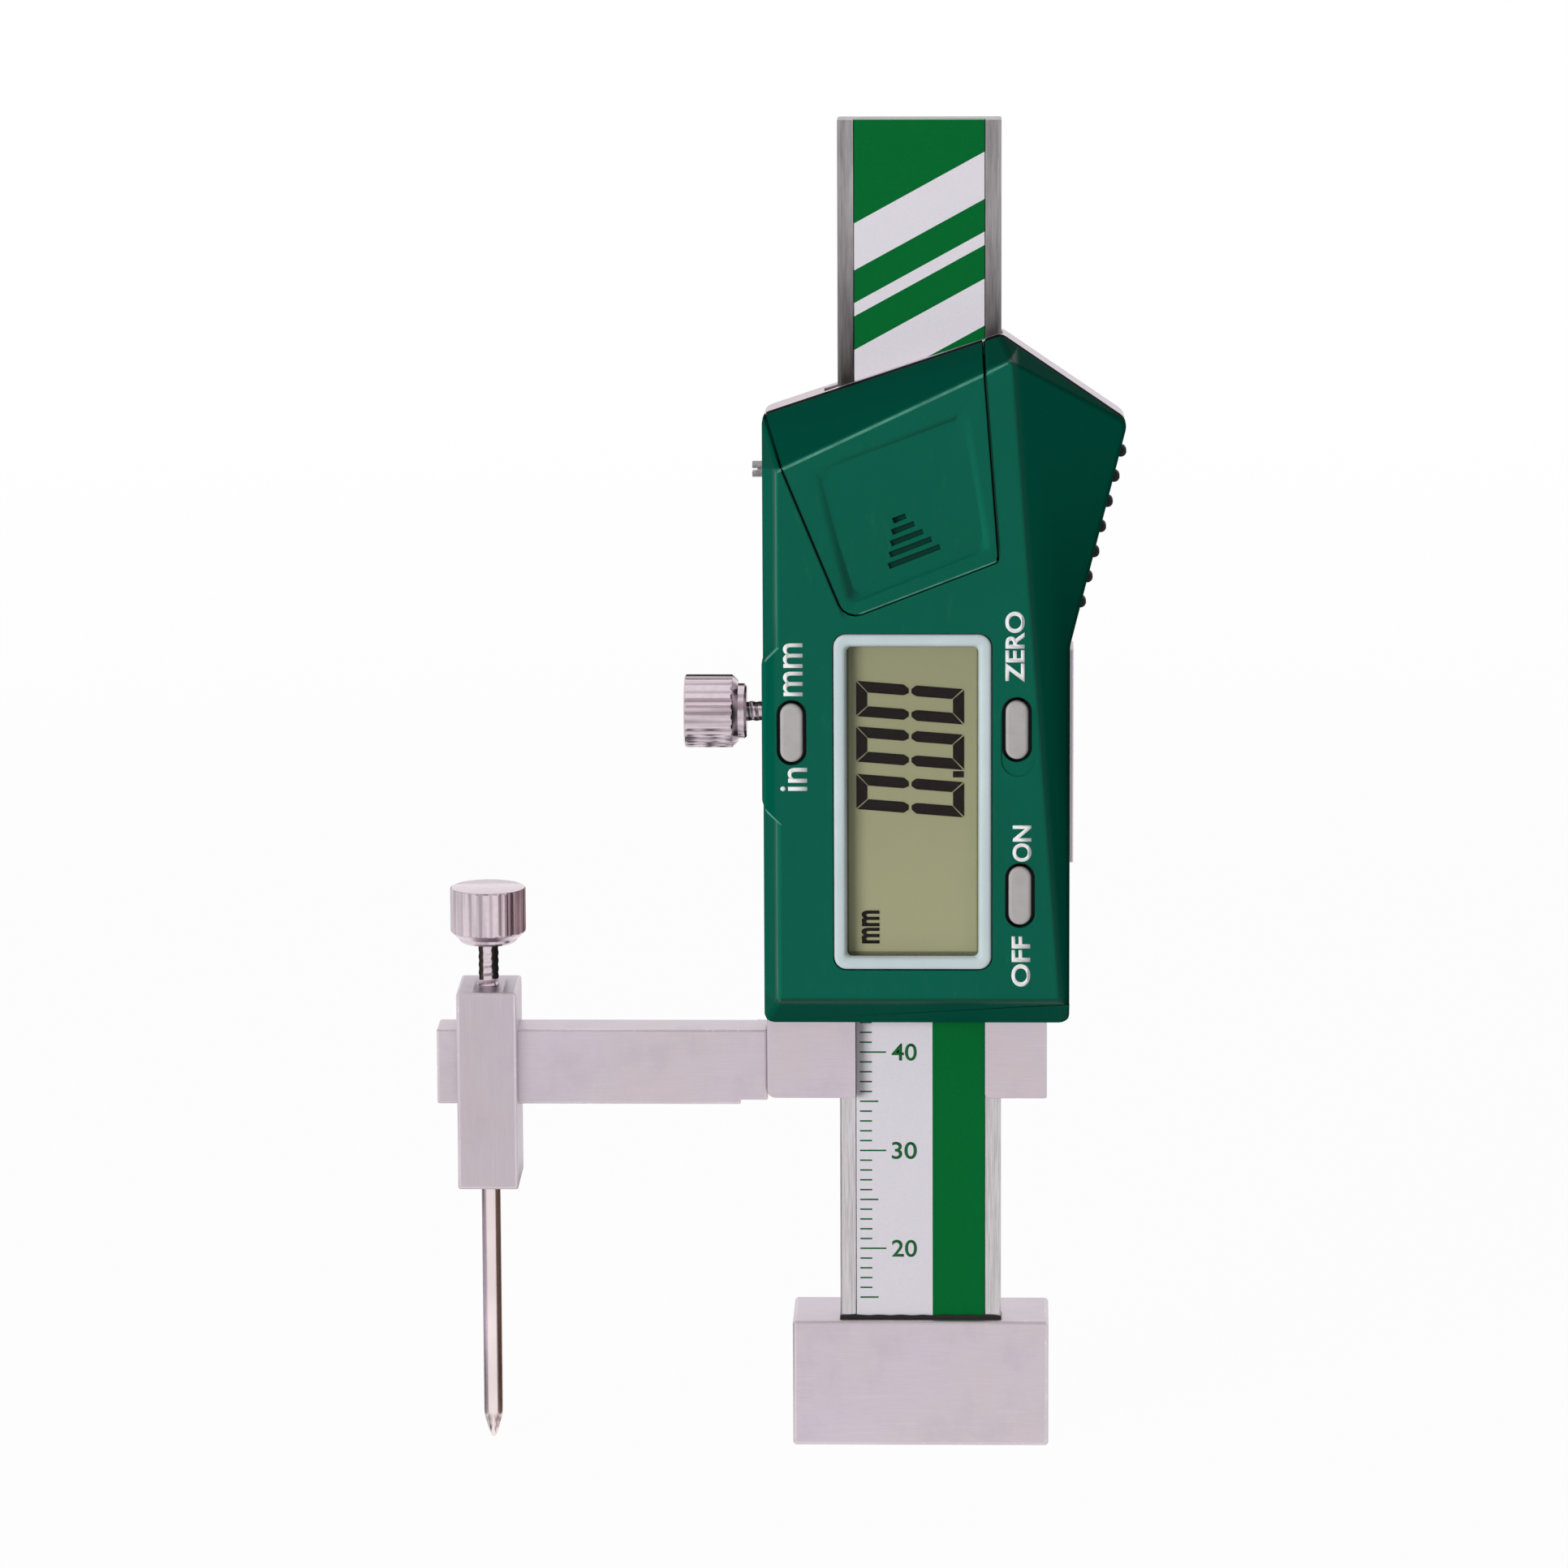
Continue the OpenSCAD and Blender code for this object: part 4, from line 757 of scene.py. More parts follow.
def smooth(piece, sharp=SHARP_ANGLE):
    """Smooth shading with creases where faces meet at more than the sharp angle."""
    piece.data.shade_smooth()
    piece.data.set_sharp_from_angle(angle=sharp)
    return piece


def merged(node):
    """A CAD node as a bmesh whose loose triangles are joined at their corners."""
    form = bmesh.new()
    form.from_mesh(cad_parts[node].data)
    bmesh.ops.remove_doubles(form, verts=form.verts[:], dist=MERGE_GAP)
    return form


def rounded_copy(node, name, radius, segments=2, weigh=None, edge_material=True, cut=False):
    """A copy of a CAD node with its sharp edges rounded.

    weigh(edge) gives an edge's share of the radius. cut keeps faces with holes in triangles."""
    form = merged(node)
    bmesh.ops.dissolve_limit(
        form, angle_limit=FLAT_ANGLE, use_dissolve_boundaries=False,
        verts=form.verts[:], edges=form.edges[:], delimit=set(),
    )
    if cut:
        bmesh.ops.dissolve_degenerate(form, dist=SHORTEST, edges=form.edges[:])
        many = [face for face in form.faces if len(face.verts) > 4]
        bmesh.ops.triangulate(form, faces=many, quad_method="BEAUTY", ngon_method="BEAUTY")
    weights = form.edges.layers.float.new("bevel_weight_edge")
    for edge in form.edges:
        if len(edge.link_faces) == 2 and edge.calc_face_angle(0) > SHARP_ANGLE / 2:
            edge[weights] = weigh(edge) if weigh else float(edge.calc_face_angle(0) > SHARP_ANGLE)
    piece = smooth(add_object(name, settled(form, bpy.data.meshes.new(name))))
    bevel = piece.modifiers.new("Edge radius", "BEVEL")
    bevel.width = radius
    bevel.segments = segments
    bevel.limit_method = "WEIGHT"
    bevel.use_clamp_overlap = False
    bevel.loop_slide = cut
    bevel.material = 1 if edge_material else -1
    piece.modifiers.new("Flat faces", "WEIGHTED_NORMAL").keep_sharp = True
    return piece


class Look:
    """What the gauge's operators share: the sizes and colours of the scene."""

    bl_options = {"REGISTER", "UNDO"}

    @property
    def sizes(self):
        """The sizes of the fine detail."""
        return bpy.context.scene.gauge_sizes

    @property
    def colours(self):
        """The colours of the finishes."""
        return bpy.context.scene.gauge_colours


class GAUGE_OT_steelwork(Look, Operator):
    """Gives the ground steel pieces soft edges and their finish"""

    bl_idname = "gauge.steelwork"
    bl_label = "Steelwork"

    def execute(self, context):
        for node, body, surface, edge in (
            ("base_block", "base", "ground_steel", "ground_edge"),
            ("arm", "slider", "ground_steel", "ground_edge"),
            ("slider_frame", "slider", "ground_steel", "ground_edge"),
            ("back_plate", "slider", "ground_steel", "ground_edge"),
            ("clamp_block", "clamp", "upright_steel", "ground_edge"),
            ("beam", "base", "beam_steel", "beam_steel"),
        ):
            beam = node == "beam"
            piece = rounded_copy(node, f"{node}_ground", self.sizes.ground_radius, edge_material=not beam)
            show(piece, (surface, edge), body, (node,))
        return {"FINISHED"}


def off_edges(point, edges):
    """How far a point lies from the nearest of some edges of the front face."""
    at = Vector((point.x, point.z))
    gaps = []
    for start, end in edges:
        _, share = intersect_point_line(at, start, end)
        near = start.lerp(end, max(0.0, min(1.0, share)))
        gaps.append(Vector((*(at - near), point.y - FACE_BOX[0].y)).length)
    return min(gaps)


class GAUGE_OT_housing(Look, Operator):
    """Gives the housing and the battery cover their moulded edges and finish"""

    bl_idname = "gauge.housing"
    bl_label = "Housing"

    def share(self, edge):
        """The outer edges take the full radius, the ones with a painted highlight and the seams a smaller
        one.

        The right edge passes close to a button's hole, so it takes a smaller one too."""
        turn = edge.calc_face_angle_signed(0)
        full = self.sizes.housing_radius

        def front(depth):
            return all(v.co.y < FACE_BOX[0].y + depth * MM for v in edge.verts)

        crisp = [*HIGHLIGHT_EDGES, (FACE_LOW_RIGHT, FACE_APEX)]
        if turn > math.radians(25) and all(off_edges(v.co, crisp) < ON_LINE for v in edge.verts):
            return self.sizes.crisp_radius / full
        if math.radians(25) < turn < math.radians(86) and edge.calc_length() > 0.1 * MM:
            return float(front(9))
        rim = self.seams and math.radians(86) < turn < math.radians(100)
        return self.sizes.seam_radius / full if rim and front(1.7) else 0.0

    def execute(self, context):
        for node, body, seams in (("housing", "slider", False), ("battery_cover", "battery_cover", True)):
            self.seams = seams
            piece = rounded_copy(
                node, f"{node}_rounded", self.sizes.housing_radius, segments=3, weigh=self.share, cut=seams
            )
            piece = plain(piece, f"{node}_moulded")
            show(piece, ("green_plastic", "green_edge"), body, (node,))
            # Faces along the highlight edges take the second finish, a painted highlight
            for face in piece.data.polygons:
                face.material_index = int(off_edges(face.center, HIGHLIGHT_EDGES) < HIGHLIGHT_REACH)
        return {"FINISHED"}


def circle(radius, height, steps):
    """Points around Z."""
    turns = (math.tau * k / steps for k in range(steps))
    return [Vector((radius * math.cos(turn), radius * math.sin(turn), height)) for turn in turns]


def lathe(profile, steps):
    """The points and faces of a closed shape turned around Z from its (radius, height) profile."""
    points = []
    rings = []
    for radius, height in profile:
        ring = circle(radius, height, steps) if radius else [Vector((0, 0, height))]
        rings.append([len(points) + (k if radius else 0) for k in range(steps)])
        points += ring
    faces = []
    for lower, upper in zip(rings, rings[1:]):
        for k in range(steps):
            following = (k + 1) % steps
            face = list(dict.fromkeys([lower[k], lower[following], upper[following], upper[k]]))
            if len(face) > 2:
                faces.append(face)
    return points, faces


class GAUGE_OT_needle(Look, Operator):
    """Turns the needle with its cone and rounded tip"""

    bl_idname = "gauge.needle"
    bl_label = "Needle"

    def execute(self, context):
        low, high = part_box("needle")
        radius = (high.x - low.x) / 2
        tip, cone, shoulder, chamfer = 0.3 * MM, 2.4 * MM, 0.25 * MM, 0.1 * MM
        arc = [math.radians(a) for a in (20, 40, 60, 73)]
        profile = [(0, 0), *((tip * math.sin(a), tip * (1 - math.cos(a))) for a in arc)]
        profile += [(radius - 0.04 * MM, cone - shoulder), (radius, cone + shoulder)]
        profile += [(radius, high.z - chamfer), (radius - chamfer, high.z), (0, high.z)]
        mesh = mesh_of("needle_turned", *lathe(profile, 64))
        at = centre("needle")
        mesh.transform(moved(at.x, at.y, 0))
        piece = smooth(add_object("needle_turned", mesh), math.radians(40))
        show(piece, ("needle_steel",), "clamp", ("needle",))
        return {"FINISHED"}


class Pattern(Bench):
    """A geometry node tree with named inputs, which ends in the material that it is given."""

    def __init__(self, name, inputs):
        super().__init__(bpy.data.node_groups.new(name, "GeometryNodeTree"))
        faces = self.tree.interface
        faces.new_socket("Geometry", in_out="OUTPUT", socket_type="NodeSocketGeometry")
        for key, kind in {**inputs, "Material": "Material"}.items():
            faces.new_socket(key, in_out="INPUT", socket_type=f"NodeSocket{kind}")
        self.given = self.tree.nodes.new("NodeGroupInput")

    def value(self, key):
        """One of the tree's inputs."""
        return Wire(self, self.given.outputs[key])

    def instance(self, key):
        """The object that an input names, as an instance."""
        return self.node(
            "GeometryNodeObjectInfo", {"transform_space": "ORIGINAL"},
            {"Object": self.value(key), "As Instance": True}, output="Geometry",
        )

    def close(self, *parts):
        """Joins the parts, realizes their instances, sets the material and ends the tree."""
        joined = self.tree.nodes.new("GeometryNodeJoinGeometry")
        for part in parts:
            self.tree.links.new(part.socket, joined.inputs[0])
        whole = self.node("GeometryNodeRealizeInstances", {}, {"Geometry": Wire(self, joined.outputs[0])})
        whole = self.node(
            "GeometryNodeSetMaterial", {}, {"Geometry": whole, "Material": self.value("Material")}
        )
        self.node("NodeGroupOutput", {}, {"Geometry": whole})
        return self.tree


def run_pattern(tree, values, name, mesh=None):
    """A plain object made by a geometry node tree from the values of its named inputs."""
    source = add_object(f"{name}_source", mesh or bpy.data.meshes.new(name))
    modifier = source.modifiers.new("Pattern", "NODES")
    modifier.node_group = tree
    for item in tree.interface.items_tree:
        if item.in_out == "INPUT" and item.name in values:
            modifier[item.identifier] = values[item.name]
    return plain(source, name)


def turned_tube(bench, radius, tall, around, along, radius_at):
    """A closed cylinder from 0 up Z whose radius at each point is radius_at(turn, height)."""
    tube = bench.node(
        "GeometryNodeMeshCylinder", {"fill_type": "NGON"},
        {"Vertices": around, "Side Segments": along, "Radius": radius, "Depth": tall},
    )
    x, y, z = bench.split(bench.node("GeometryNodeInputPosition"))
    height = z + tall * 0.5
    share = radius_at(bench.math("ARCTAN2", y, x), height) / (x * x + y * y) ** 0.5
    place = bench.join(x * share, y * share, height)
    return bench.node("GeometryNodeSetPosition", {}, {"Geometry": tube, "Position": place})


def thumb_screw_tree():
    """A thumb screw along Z: threaded shank from 0, then a collar and a knurled head."""
    lengths = ("Shank", "Collar", "Head", "Thread diameter", "Pitch", "Thread depth", "Head diameter")
    lengths += ("Collar step", "Lower chamfer", "Chamfer", "Flute depth", "Flutes")
    made = Pattern("Thumb screw", {**dict.fromkeys(lengths, "Float"), "Around": "Int"})
    shank, collar, head = (made.value(key) for key in ("Shank", "Collar", "Head"))
    thread_radius = made.value("Thread diameter") * 0.5
    head_radius = made.value("Head diameter") * 0.5
    chamfer = made.value("Chamfer")

    def threaded(turn, height):
        wave = (height / made.value("Pitch") - turn / math.tau) % 1.0
        depth = made.value("Thread depth") * (1.0 - abs(wave * 2.0 - 1.0) * 1.25).most(0.0)
        tip = thread_radius - 0.35 * MM + height
        return (thread_radius - depth).least(tip.most(0.3 * MM))

    def knurled(turn, height):
        around = turn * made.value("Flutes")
        groove = (made.math("COSINE", around) * 0.5 + 0.5) ** 1.8
        body = head_radius - made.value("Flute depth") * groove
        end = (1.0 - (head - height) / chamfer).most(0.0)
        fall = chamfer * (1.0 - (1.0 - end ** 2.0) ** 0.5)
        start = head_radius - made.value("Lower chamfer") + height
        return body.least(head_radius - fall).least(start)

    def plain_collar(turn, height):
        flange = head_radius - made.value("Collar step")
        return flange.least(flange + height - 0.22 * MM)

    def lift(geometry, height):
        offset = made.join(0.0, 0.0, height)
        return made.node("GeometryNodeTransform", {}, {"Geometry": geometry, "Translation": offset})

    return made.close(
        turned_tube(made, thread_radius, shank, 36, 260, threaded),
        lift(turned_tube(made, head_radius, collar, 96, 24, plain_collar), shank),
        lift(turned_tube(made, head_radius, head, made.value("Around"), 48, knurled), shank + collar),
    )


class GAUGE_OT_thumb_screws(Look, Operator):
    """Makes the lock screw and the clamp screw, threaded and knurled"""

    bl_idname = "gauge.thumb_screws"
    bl_label = "Thumb screws"

    def execute(self, context):
        sizes = self.sizes
        tree = thumb_screw_tree()
        shared = {
            "Thread diameter": sizes.thread_diameter, "Pitch": sizes.thread_pitch,
            "Thread depth": sizes.thread_depth, "Collar step": sizes.collar_step,
            "Lower chamfer": sizes.collar_chamfer, "Chamfer": sizes.head_chamfer,
            "Flute depth": sizes.flute_depth, "Flutes": float(sizes.flutes), "Around": sizes.flutes * 12,
        }
        for kind, axis in (("lock", 0), ("clamp", 2)):
            node = f"{kind}_screw"
            low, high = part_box(node)
            at = (low + high) / 2
            at[axis] = high.x if kind == "lock" else low.z
            head, collar = getattr(sizes, f"{kind}_length"), getattr(sizes, f"{kind}_collar")
            values = {
                **shared, "Head diameter": getattr(sizes, f"{kind}_head"), "Head": head, "Collar": collar,
                "Shank": high[axis] - low[axis] - head - collar, "Material": finish_of(f"{kind}_steel"),
            }
            piece = run_pattern(tree, values, f"{node}_turned")
            to_left = Matrix.Rotation(-math.pi / 2, 4, "Y")
            piece.data.transform(moved(*at) @ to_left if kind == "lock" else moved(*at))
            show(smooth(piece, math.radians(28)), (f"{kind}_steel",), node, (node,))
        return {"FINISHED"}


def islands(node):
    """The lowest and highest corner of each separate solid in a CAD node."""
    form = merged(node)
    left = set(form.verts)
    boxes = []
    while left:
        stack = [left.pop()]
        group = list(stack)
        while stack:
            for edge in stack.pop().link_edges:
                for vert in edge.verts:
                    if vert in left:
                        left.remove(vert)
                        stack.append(vert)
                        group.append(vert)
        boxes.append(reach([vert.co for vert in group]))
    form.free()
    return sorted(boxes, key=lambda box: (round(box[0].x, 6), round(box[0].z, 6)))


def countersunk_mesh(head_radius, shank_radius, shank_length):
    """A countersunk screw with a cross recess, its head's face at 0 and its shank down Z."""
    form = bmesh.new()

    def ring(radius, height):
        return [form.verts.new(point) for point in circle(radius, height, 48)]

    def skirt(upper, lower):
        for k in range(len(upper)):
            following = (k + 1) % len(upper)
            form.faces.new((upper[k], upper[following], lower[following], lower[k]))

    rim = ring(head_radius, 0)
    long, half, lip = head_radius * 0.58, head_radius * 0.13, -0.06 * MM
    recess = []
    for k in range(4):
        turn = Matrix.Rotation(math.pi / 2 * k, 2)
        recess += [turn @ Vector(p) for p in ((long, -half), (long, half), (half, half))]
    upper = [form.verts.new((p.x, p.y, 0)) for p in recess]
    lower = [form.verts.new((p.x * 0.8, p.y * 0.8, -head_radius * 0.42)) for p in recess]
    edges = [form.edges.new(pair) for loop in (rim, upper) for pair in zip(loop, loop[1:] + loop[:1])]
    bmesh.ops.triangle_fill(form, edges=edges, use_beauty=True)
    skirt(upper, lower)
    form.faces.new(lower)
    previous = rim
    for radius, height in (
        (head_radius, lip), (shank_radius, lip - head_radius + shank_radius), (shank_radius, -shank_length)
    ):
        following = ring(radius, height)
        skirt(previous, following)
        previous = following
    form.faces.new(previous)
    return settled(form, bpy.data.meshes.new("countersunk"), outwards=True)


def screw_row_tree():
    """A screw at every point of the mesh, each turned by its own angle about its axis."""
    made = Pattern("Screw row", {"Geometry": "Geometry", "Screw": "Object", "Axis turn": "Vector"})
    own_turn = made.node(
        "FunctionNodeRandomValue", {"data_type": "FLOAT"}, {"Min": 0.0, "Max": 1.5, "Seed": 4}, output=1
    )
    placed = made.node("GeometryNodeInstanceOnPoints", {}, {
        "Points": made.value("Geometry"), "Instance": made.instance("Screw"),
        "Rotation": made.value("Axis turn"),
    })
    local = {"Instances": placed, "Rotation": made.join(0.0, 0.0, own_turn), "Local Space": True}
    return made.close(made.node("GeometryNodeRotateInstances", {}, local))


class GAUGE_OT_fasteners(Look, Operator):
    """Makes the countersunk screws, the set screws and the travel stop"""

    bl_idname = "gauge.fasteners"
    bl_label = "Fasteners"

    def execute(self, context):
        tree = screw_row_tree()
        for node, body, surface in (
            ("back_screws", "slider", "bright_screw"),
            ("arm_screws", "slider", "bright_screw"),
            ("base_screws", "base", "dark_screw"),
        ):
            boxes = islands(node)
            low, high = boxes[0]
            head_radius = (high.x - low.x) / 2
            tool = countersunk_mesh(head_radius, head_radius / 1.8, high.y - low.y)
            screw = add_object("countersunk_master", tool)
            points = [((a.x + b.x) / 2, b.y, (a.z + b.z) / 2) for a, b in boxes]
            values = {
                "Screw": screw, "Axis turn": (-math.pi / 2, 0.0, 0.0), "Material": finish_of(surface),
            }
            piece = run_pattern(tree, values, f"{node}_driven", mesh_of(node, points, []))
            bpy.data.objects.remove(screw)
            show(smooth(piece), (surface,), body, (node,))
        for node, body in (("gib_screws", "slider"), ("travel_stop", "base")):
            piece = rounded_copy(node, f"{node}_turned", 0.05 * MM, edge_material=False)
            show(piece, ("bright_screw",), body, (node,))
        return {"FINISHED"}


def grip_tree():
    """Ribs in a row along Z, joined to the strip that the modifier's mesh gives."""
    made = Pattern(
        "Grip ribs", {"Geometry": "Geometry", "Rib": "Object", "Ribs": "Int", "Pitch": "Float"}
    )
    pitch = made.value("Pitch")
    start = made.join(0.0, 0.0, (made.value("Ribs") - 1.0) * pitch * -0.5)
    offset = made.join(0.0, 0.0, pitch)
    line = made.node(
        "GeometryNodeMeshLine", {"mode": "OFFSET"},
        {"Count": made.value("Ribs"), "Start Location": start, "Offset": offset},
    )
    ribs = {"Points": line, "Instance": made.instance("Rib")}
    return made.close(made.value("Geometry"), made.node("GeometryNodeInstanceOnPoints", {}, ribs))


def capsule_mesh(radius, half_length):
    """A rod along Y with softly rounded ends."""
    soft = radius * 0.6
    arc = [math.radians(d) for d in (90, 60, 30, 0)]
    upper = [(radius - soft * (1 - math.sin(a)), half_length - soft * (1 - math.cos(a))) for a in arc]
    upper.append((0, half_length))
    mesh = mesh_of("rib", *lathe([(r, -h) for r, h in reversed(upper)] + upper, 24))
    mesh.transform(Matrix.Rotation(-math.pi / 2, 4, "X"))
    return mesh


def soft_box(name, low, high, radius):
    """A box between two corners with rounded edges, as a plain mesh."""
    form = bmesh.new()
    bmesh.ops.create_cube(form, size=1.0)
    for vert in form.verts:
        vert.co = Vector([c * s for c, s in zip(vert.co, high - low)]) + (low + high) / 2
    bmesh.ops.bevel(
        form, geom=form.edges[:], offset=radius, offset_type="OFFSET", segments=3,
        profile=0.5, affect="EDGES",
    )
    return settled(form, bpy.data.meshes.new(name))


class GAUGE_OT_thumb_grip(Look, Operator):
    """Makes the rubber thumb grip with its row of ribs"""

    bl_idname = "gauge.thumb_grip"
    bl_label = "Thumb grip"

    def execute(self, context):
        sizes = self.sizes
        low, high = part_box("thumb_grip")
        tilt, pitch, rib_d = sizes.grip_tilt, sizes.grip_pitch, sizes.grip_rib
        run = (high.z - low.z - sizes.grip_strip * math.sin(tilt)) / math.cos(tilt)
        count = int(round((run - 2 * rib_d) / pitch)) + 1
        half = (count - 1) * pitch / 2 + rib_d
        depth = (high.y - low.y) / 2
        strip = soft_box(
            "strip", Vector((-sizes.grip_strip, -depth, -half)), Vector((0, depth, half)), 0.12 * MM
        )
        rib = add_object("rib_master", capsule_mesh(rib_d / 2, depth))
        rib.data.transform(moved(0.1 * MM, 0, 0))
        values = {"Rib": rib, "Ribs": count, "Pitch": pitch, "Material": finish_of("grip_rubber")}
        piece = run_pattern(grip_tree(), values, "thumb_grip_moulded", strip)
        bpy.data.objects.remove(rib)
        piece.data.transform(Matrix.Rotation(tilt, 4, "Y"))
        _, far = reach([v.co for v in piece.data.vertices])
        piece.data.transform(moved(high.x - far.x, (low.y + high.y) / 2, high.z - far.z))
        show(smooth(piece), ("grip_rubber",), "slider", ("thumb_grip",))
        return {"FINISHED"}


def upright(points, at, front):
    """Flat (reading, up) points as a place on the front, read from below upwards.

    Reading runs along +Z and the letters' tops point to -X."""
    return [Vector((at[0] - up, front, at[1] + reading)) for reading, up in points]


def digit_segments(width, height, stroke, gap):
    """The outlines of a seven-segment nought, each as (reading, up) points from its lower left."""
    half = height / 2
    cut = gap * 0.7
    inner = stroke - cut
    nose = stroke * 0.45
    top = [
        (cut, height), (width - cut, height),
        (width - stroke - cut * 0.2, height - stroke), (stroke + cut * 0.2, height - stroke),
    ]
    side = [
        (0, height - cut * 1.2), (0, half + gap + nose), (stroke * 0.35, half + gap),
        (stroke * 0.75, half + gap), (inner + cut, half + gap + nose), (inner + cut, height - stroke - cut),
    ]

    def mirror(points):
        return [(width - r, u) for r, u in points]

    def flip(points):
        return [(r, height - u) for r, u in points]

    return top, side, mirror(side), flip(top), flip(side), flip(mirror(side))


def plate_mesh(name, outlines, thickness):
    """Flat outlines in space, each pushed back along Y into a thin closed plate."""
    points = []
    faces = []
    for outline in outlines:
        start, count = len(points), len(outline)
        points += outline + [p + Vector((0, thickness, 0)) for p in outline]
        faces.append(tuple(range(start, start + count)))
        faces.append(tuple(range(start + 2 * count - 1, start + count - 1, -1)))
        for k in range(count):
            a, b = start + k, start + (k + 1) % count
            faces.append((a, a + count, b + count, b))
    return mesh_of(name, points, faces, outwards=True)


def print_words(name, text, at, height, width, front, ink, weight, upwards=True):
    """Words printed on the face Y = front at (x, z), either upright or read from below upwards."""
    curve = bpy.data.curves.new(name, "FONT")
    curve.body = text
    curve.offset = weight
    curve.resolution_u = 6
    typed = plain(add_object(f"{name}_curve", curve), f"{name}_flat")
    mesh = typed.data
    low, high = reach([v.co for v in mesh.vertices])
    mesh.transform(moved(*((low + high) / -2)))
    mesh.transform(Matrix.Diagonal((width / (high.x - low.x), height / (high.y - low.y), 1, 1)))
    bpy.data.objects.remove(typed)
    form = bmesh.new()
    form.from_mesh(mesh)
    bmesh.ops.remove_doubles(form, verts=form.verts[:], dist=MERGE_GAP)
    extruded = bmesh.ops.extrude_face_region(form, geom=form.faces[:])
    raised = [v for v in extruded["geom"] if isinstance(v, bmesh.types.BMVert)]
    bmesh.ops.translate(form, verts=raised, vec=(0, 0, ink))
    settled(form, mesh, outwards=True)
    turn = ((0, -1, 0), (0, 0, -1), (1, 0, 0)) if upwards else ((1, 0, 0), (0, 0, -1), (0, 1, 0))
    mesh.transform(moved(at[0], front, at[1]) @ Matrix(turn).to_4x4())
    return add_object(name, mesh)


def framed_mesh(name, middle, width, height, radius, profile, steps=8):
    """A frame around a soft rectangle, from its closed profile of (inward, y) points."""
    points = []
    for inward, y in profile:
        r = max(radius - inward, 0.5 * MM)
        half_x = width / 2 - inward - r
        half_z = height / 2 - inward - r
        for x, z, start in ((1, 1, 0), (-1, 1, 90), (-1, -1, 180), (1, -1, 270)):
            for k in range(steps + 1):
                turn = math.radians(start + 90 * k / steps)
                reading, up = x * half_x + r * math.cos(turn), z * half_z + r * math.sin(turn)
                points.append((middle.x + reading, y, middle.z + up))
    around = 4 * (steps + 1)
    faces = []
    for i in range(len(profile)):
        ring, following = i * around, (i + 1) % len(profile) * around
        for k in range(around):
            beside = (k + 1) % around
            faces.append((ring + k, ring + beside, following + beside, following + k))
    return mesh_of(name, points, faces, outwards=True)


class GAUGE_OT_display(Look, Operator):
    """Makes the bezel and what the liquid crystal glass shows"""

    bl_idname = "gauge.display"
    bl_label = "Display"

    def bezel(self):
        """The bezel, with a soft round border and a flange behind the housing's wall."""
        sizes = self.sizes
        low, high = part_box("display_bezel")
        glass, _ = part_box("display_window")
        flange = (high.x - low.x - sizes.bezel_width) / 2
        seat, rest = high.y - 0.58 * MM, glass.y - 0.02 * MM
        border, gap = sizes.bezel_border, 0.09 * MM
        rebate = border - 0.35 * MM
        section = (
            (0, 0.30), (0.02, 0.18), (0.08, 0.08), (0.18, 0.02), (0.30, 0.0),
            (0.58, 0.0), (0.70, 0.03), (0.80, 0.10), (0.88, 0.22), (0.97, 0.46),
        )
        profile = [(-flange, high.y), (-flange, seat), (gap, seat)]
        profile += [(gap + i * (border - gap), low.y + y * MM) for i, y in section]
        profile += [(border, rest), (rebate, rest), (rebate, high.y)]
        mesh = framed_mesh(
            "bezel_moulded", (low + high) / 2, sizes.bezel_width, sizes.bezel_height,
            sizes.bezel_corner, profile,
        )
        return smooth(add_object("bezel_moulded", mesh), math.radians(35))

    def execute(self, context):
        sizes = self.sizes
        show(self.bezel(), ("bezel_plastic",), "slider", ("display_bezel",))
        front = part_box("lcd_glass")[0].y - 0.05 * MM
        base_x = centre("lcd_glass").x + sizes.digit_height / 2 - 0.25 * MM
        slant = math.tan(sizes.digit_slant)
        parts = digit_segments(sizes.digit_width, sizes.digit_height, sizes.digit_stroke, sizes.digit_gap)
        outlines = []
        for start in (65.35 * MM, 70.05 * MM, 74.55 * MM):
            for points in parts:
                outlines.append(upright([(r + slant * u, u) for r, u in points], (base_x, start), front))
        dot, tall = 0.62 * MM, 1.7 * 0.62 * MM
        corners = [(0, 0), (dot, 0), (dot, tall), (0, tall)]
        outlines.append(upright(corners, (3.75 * MM + dot, 69.32 * MM), front))
        digits = add_object("display_digits", plate_mesh("display_digits", outlines, 0.02 * MM))
        unit = print_words(
            "display_unit", "mm", (-4.75 * MM, 54.45 * MM), 1.75 * MM, 3.3 * MM, front, 0.02 * MM, 0.03
        )
        for piece in (digits, unit):
            show(piece, ("lcd_segment",), "slider")
        return {"FINISHED"}


class GAUGE_OT_buttons(Look, Operator):
    """Gives the push buttons their rounded rims"""

    bl_idname = "gauge.buttons"
    bl_label = "Buttons"

    def execute(self, context):
        for node in ("unit_button", "zero_button", "power_button"):
            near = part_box(node)[0].y + 0.5 * MM

            def rim(edge, near=near):
                return float(all(v.co.y < near for v in edge.verts))

            piece = rounded_copy(
                node, f"{node}_moulded", self.sizes.button_radius, segments=4, weigh=rim, edge_material=False
            )
            show(piece, ("button_plastic",), node, (node,))
        return {"FINISHED"}


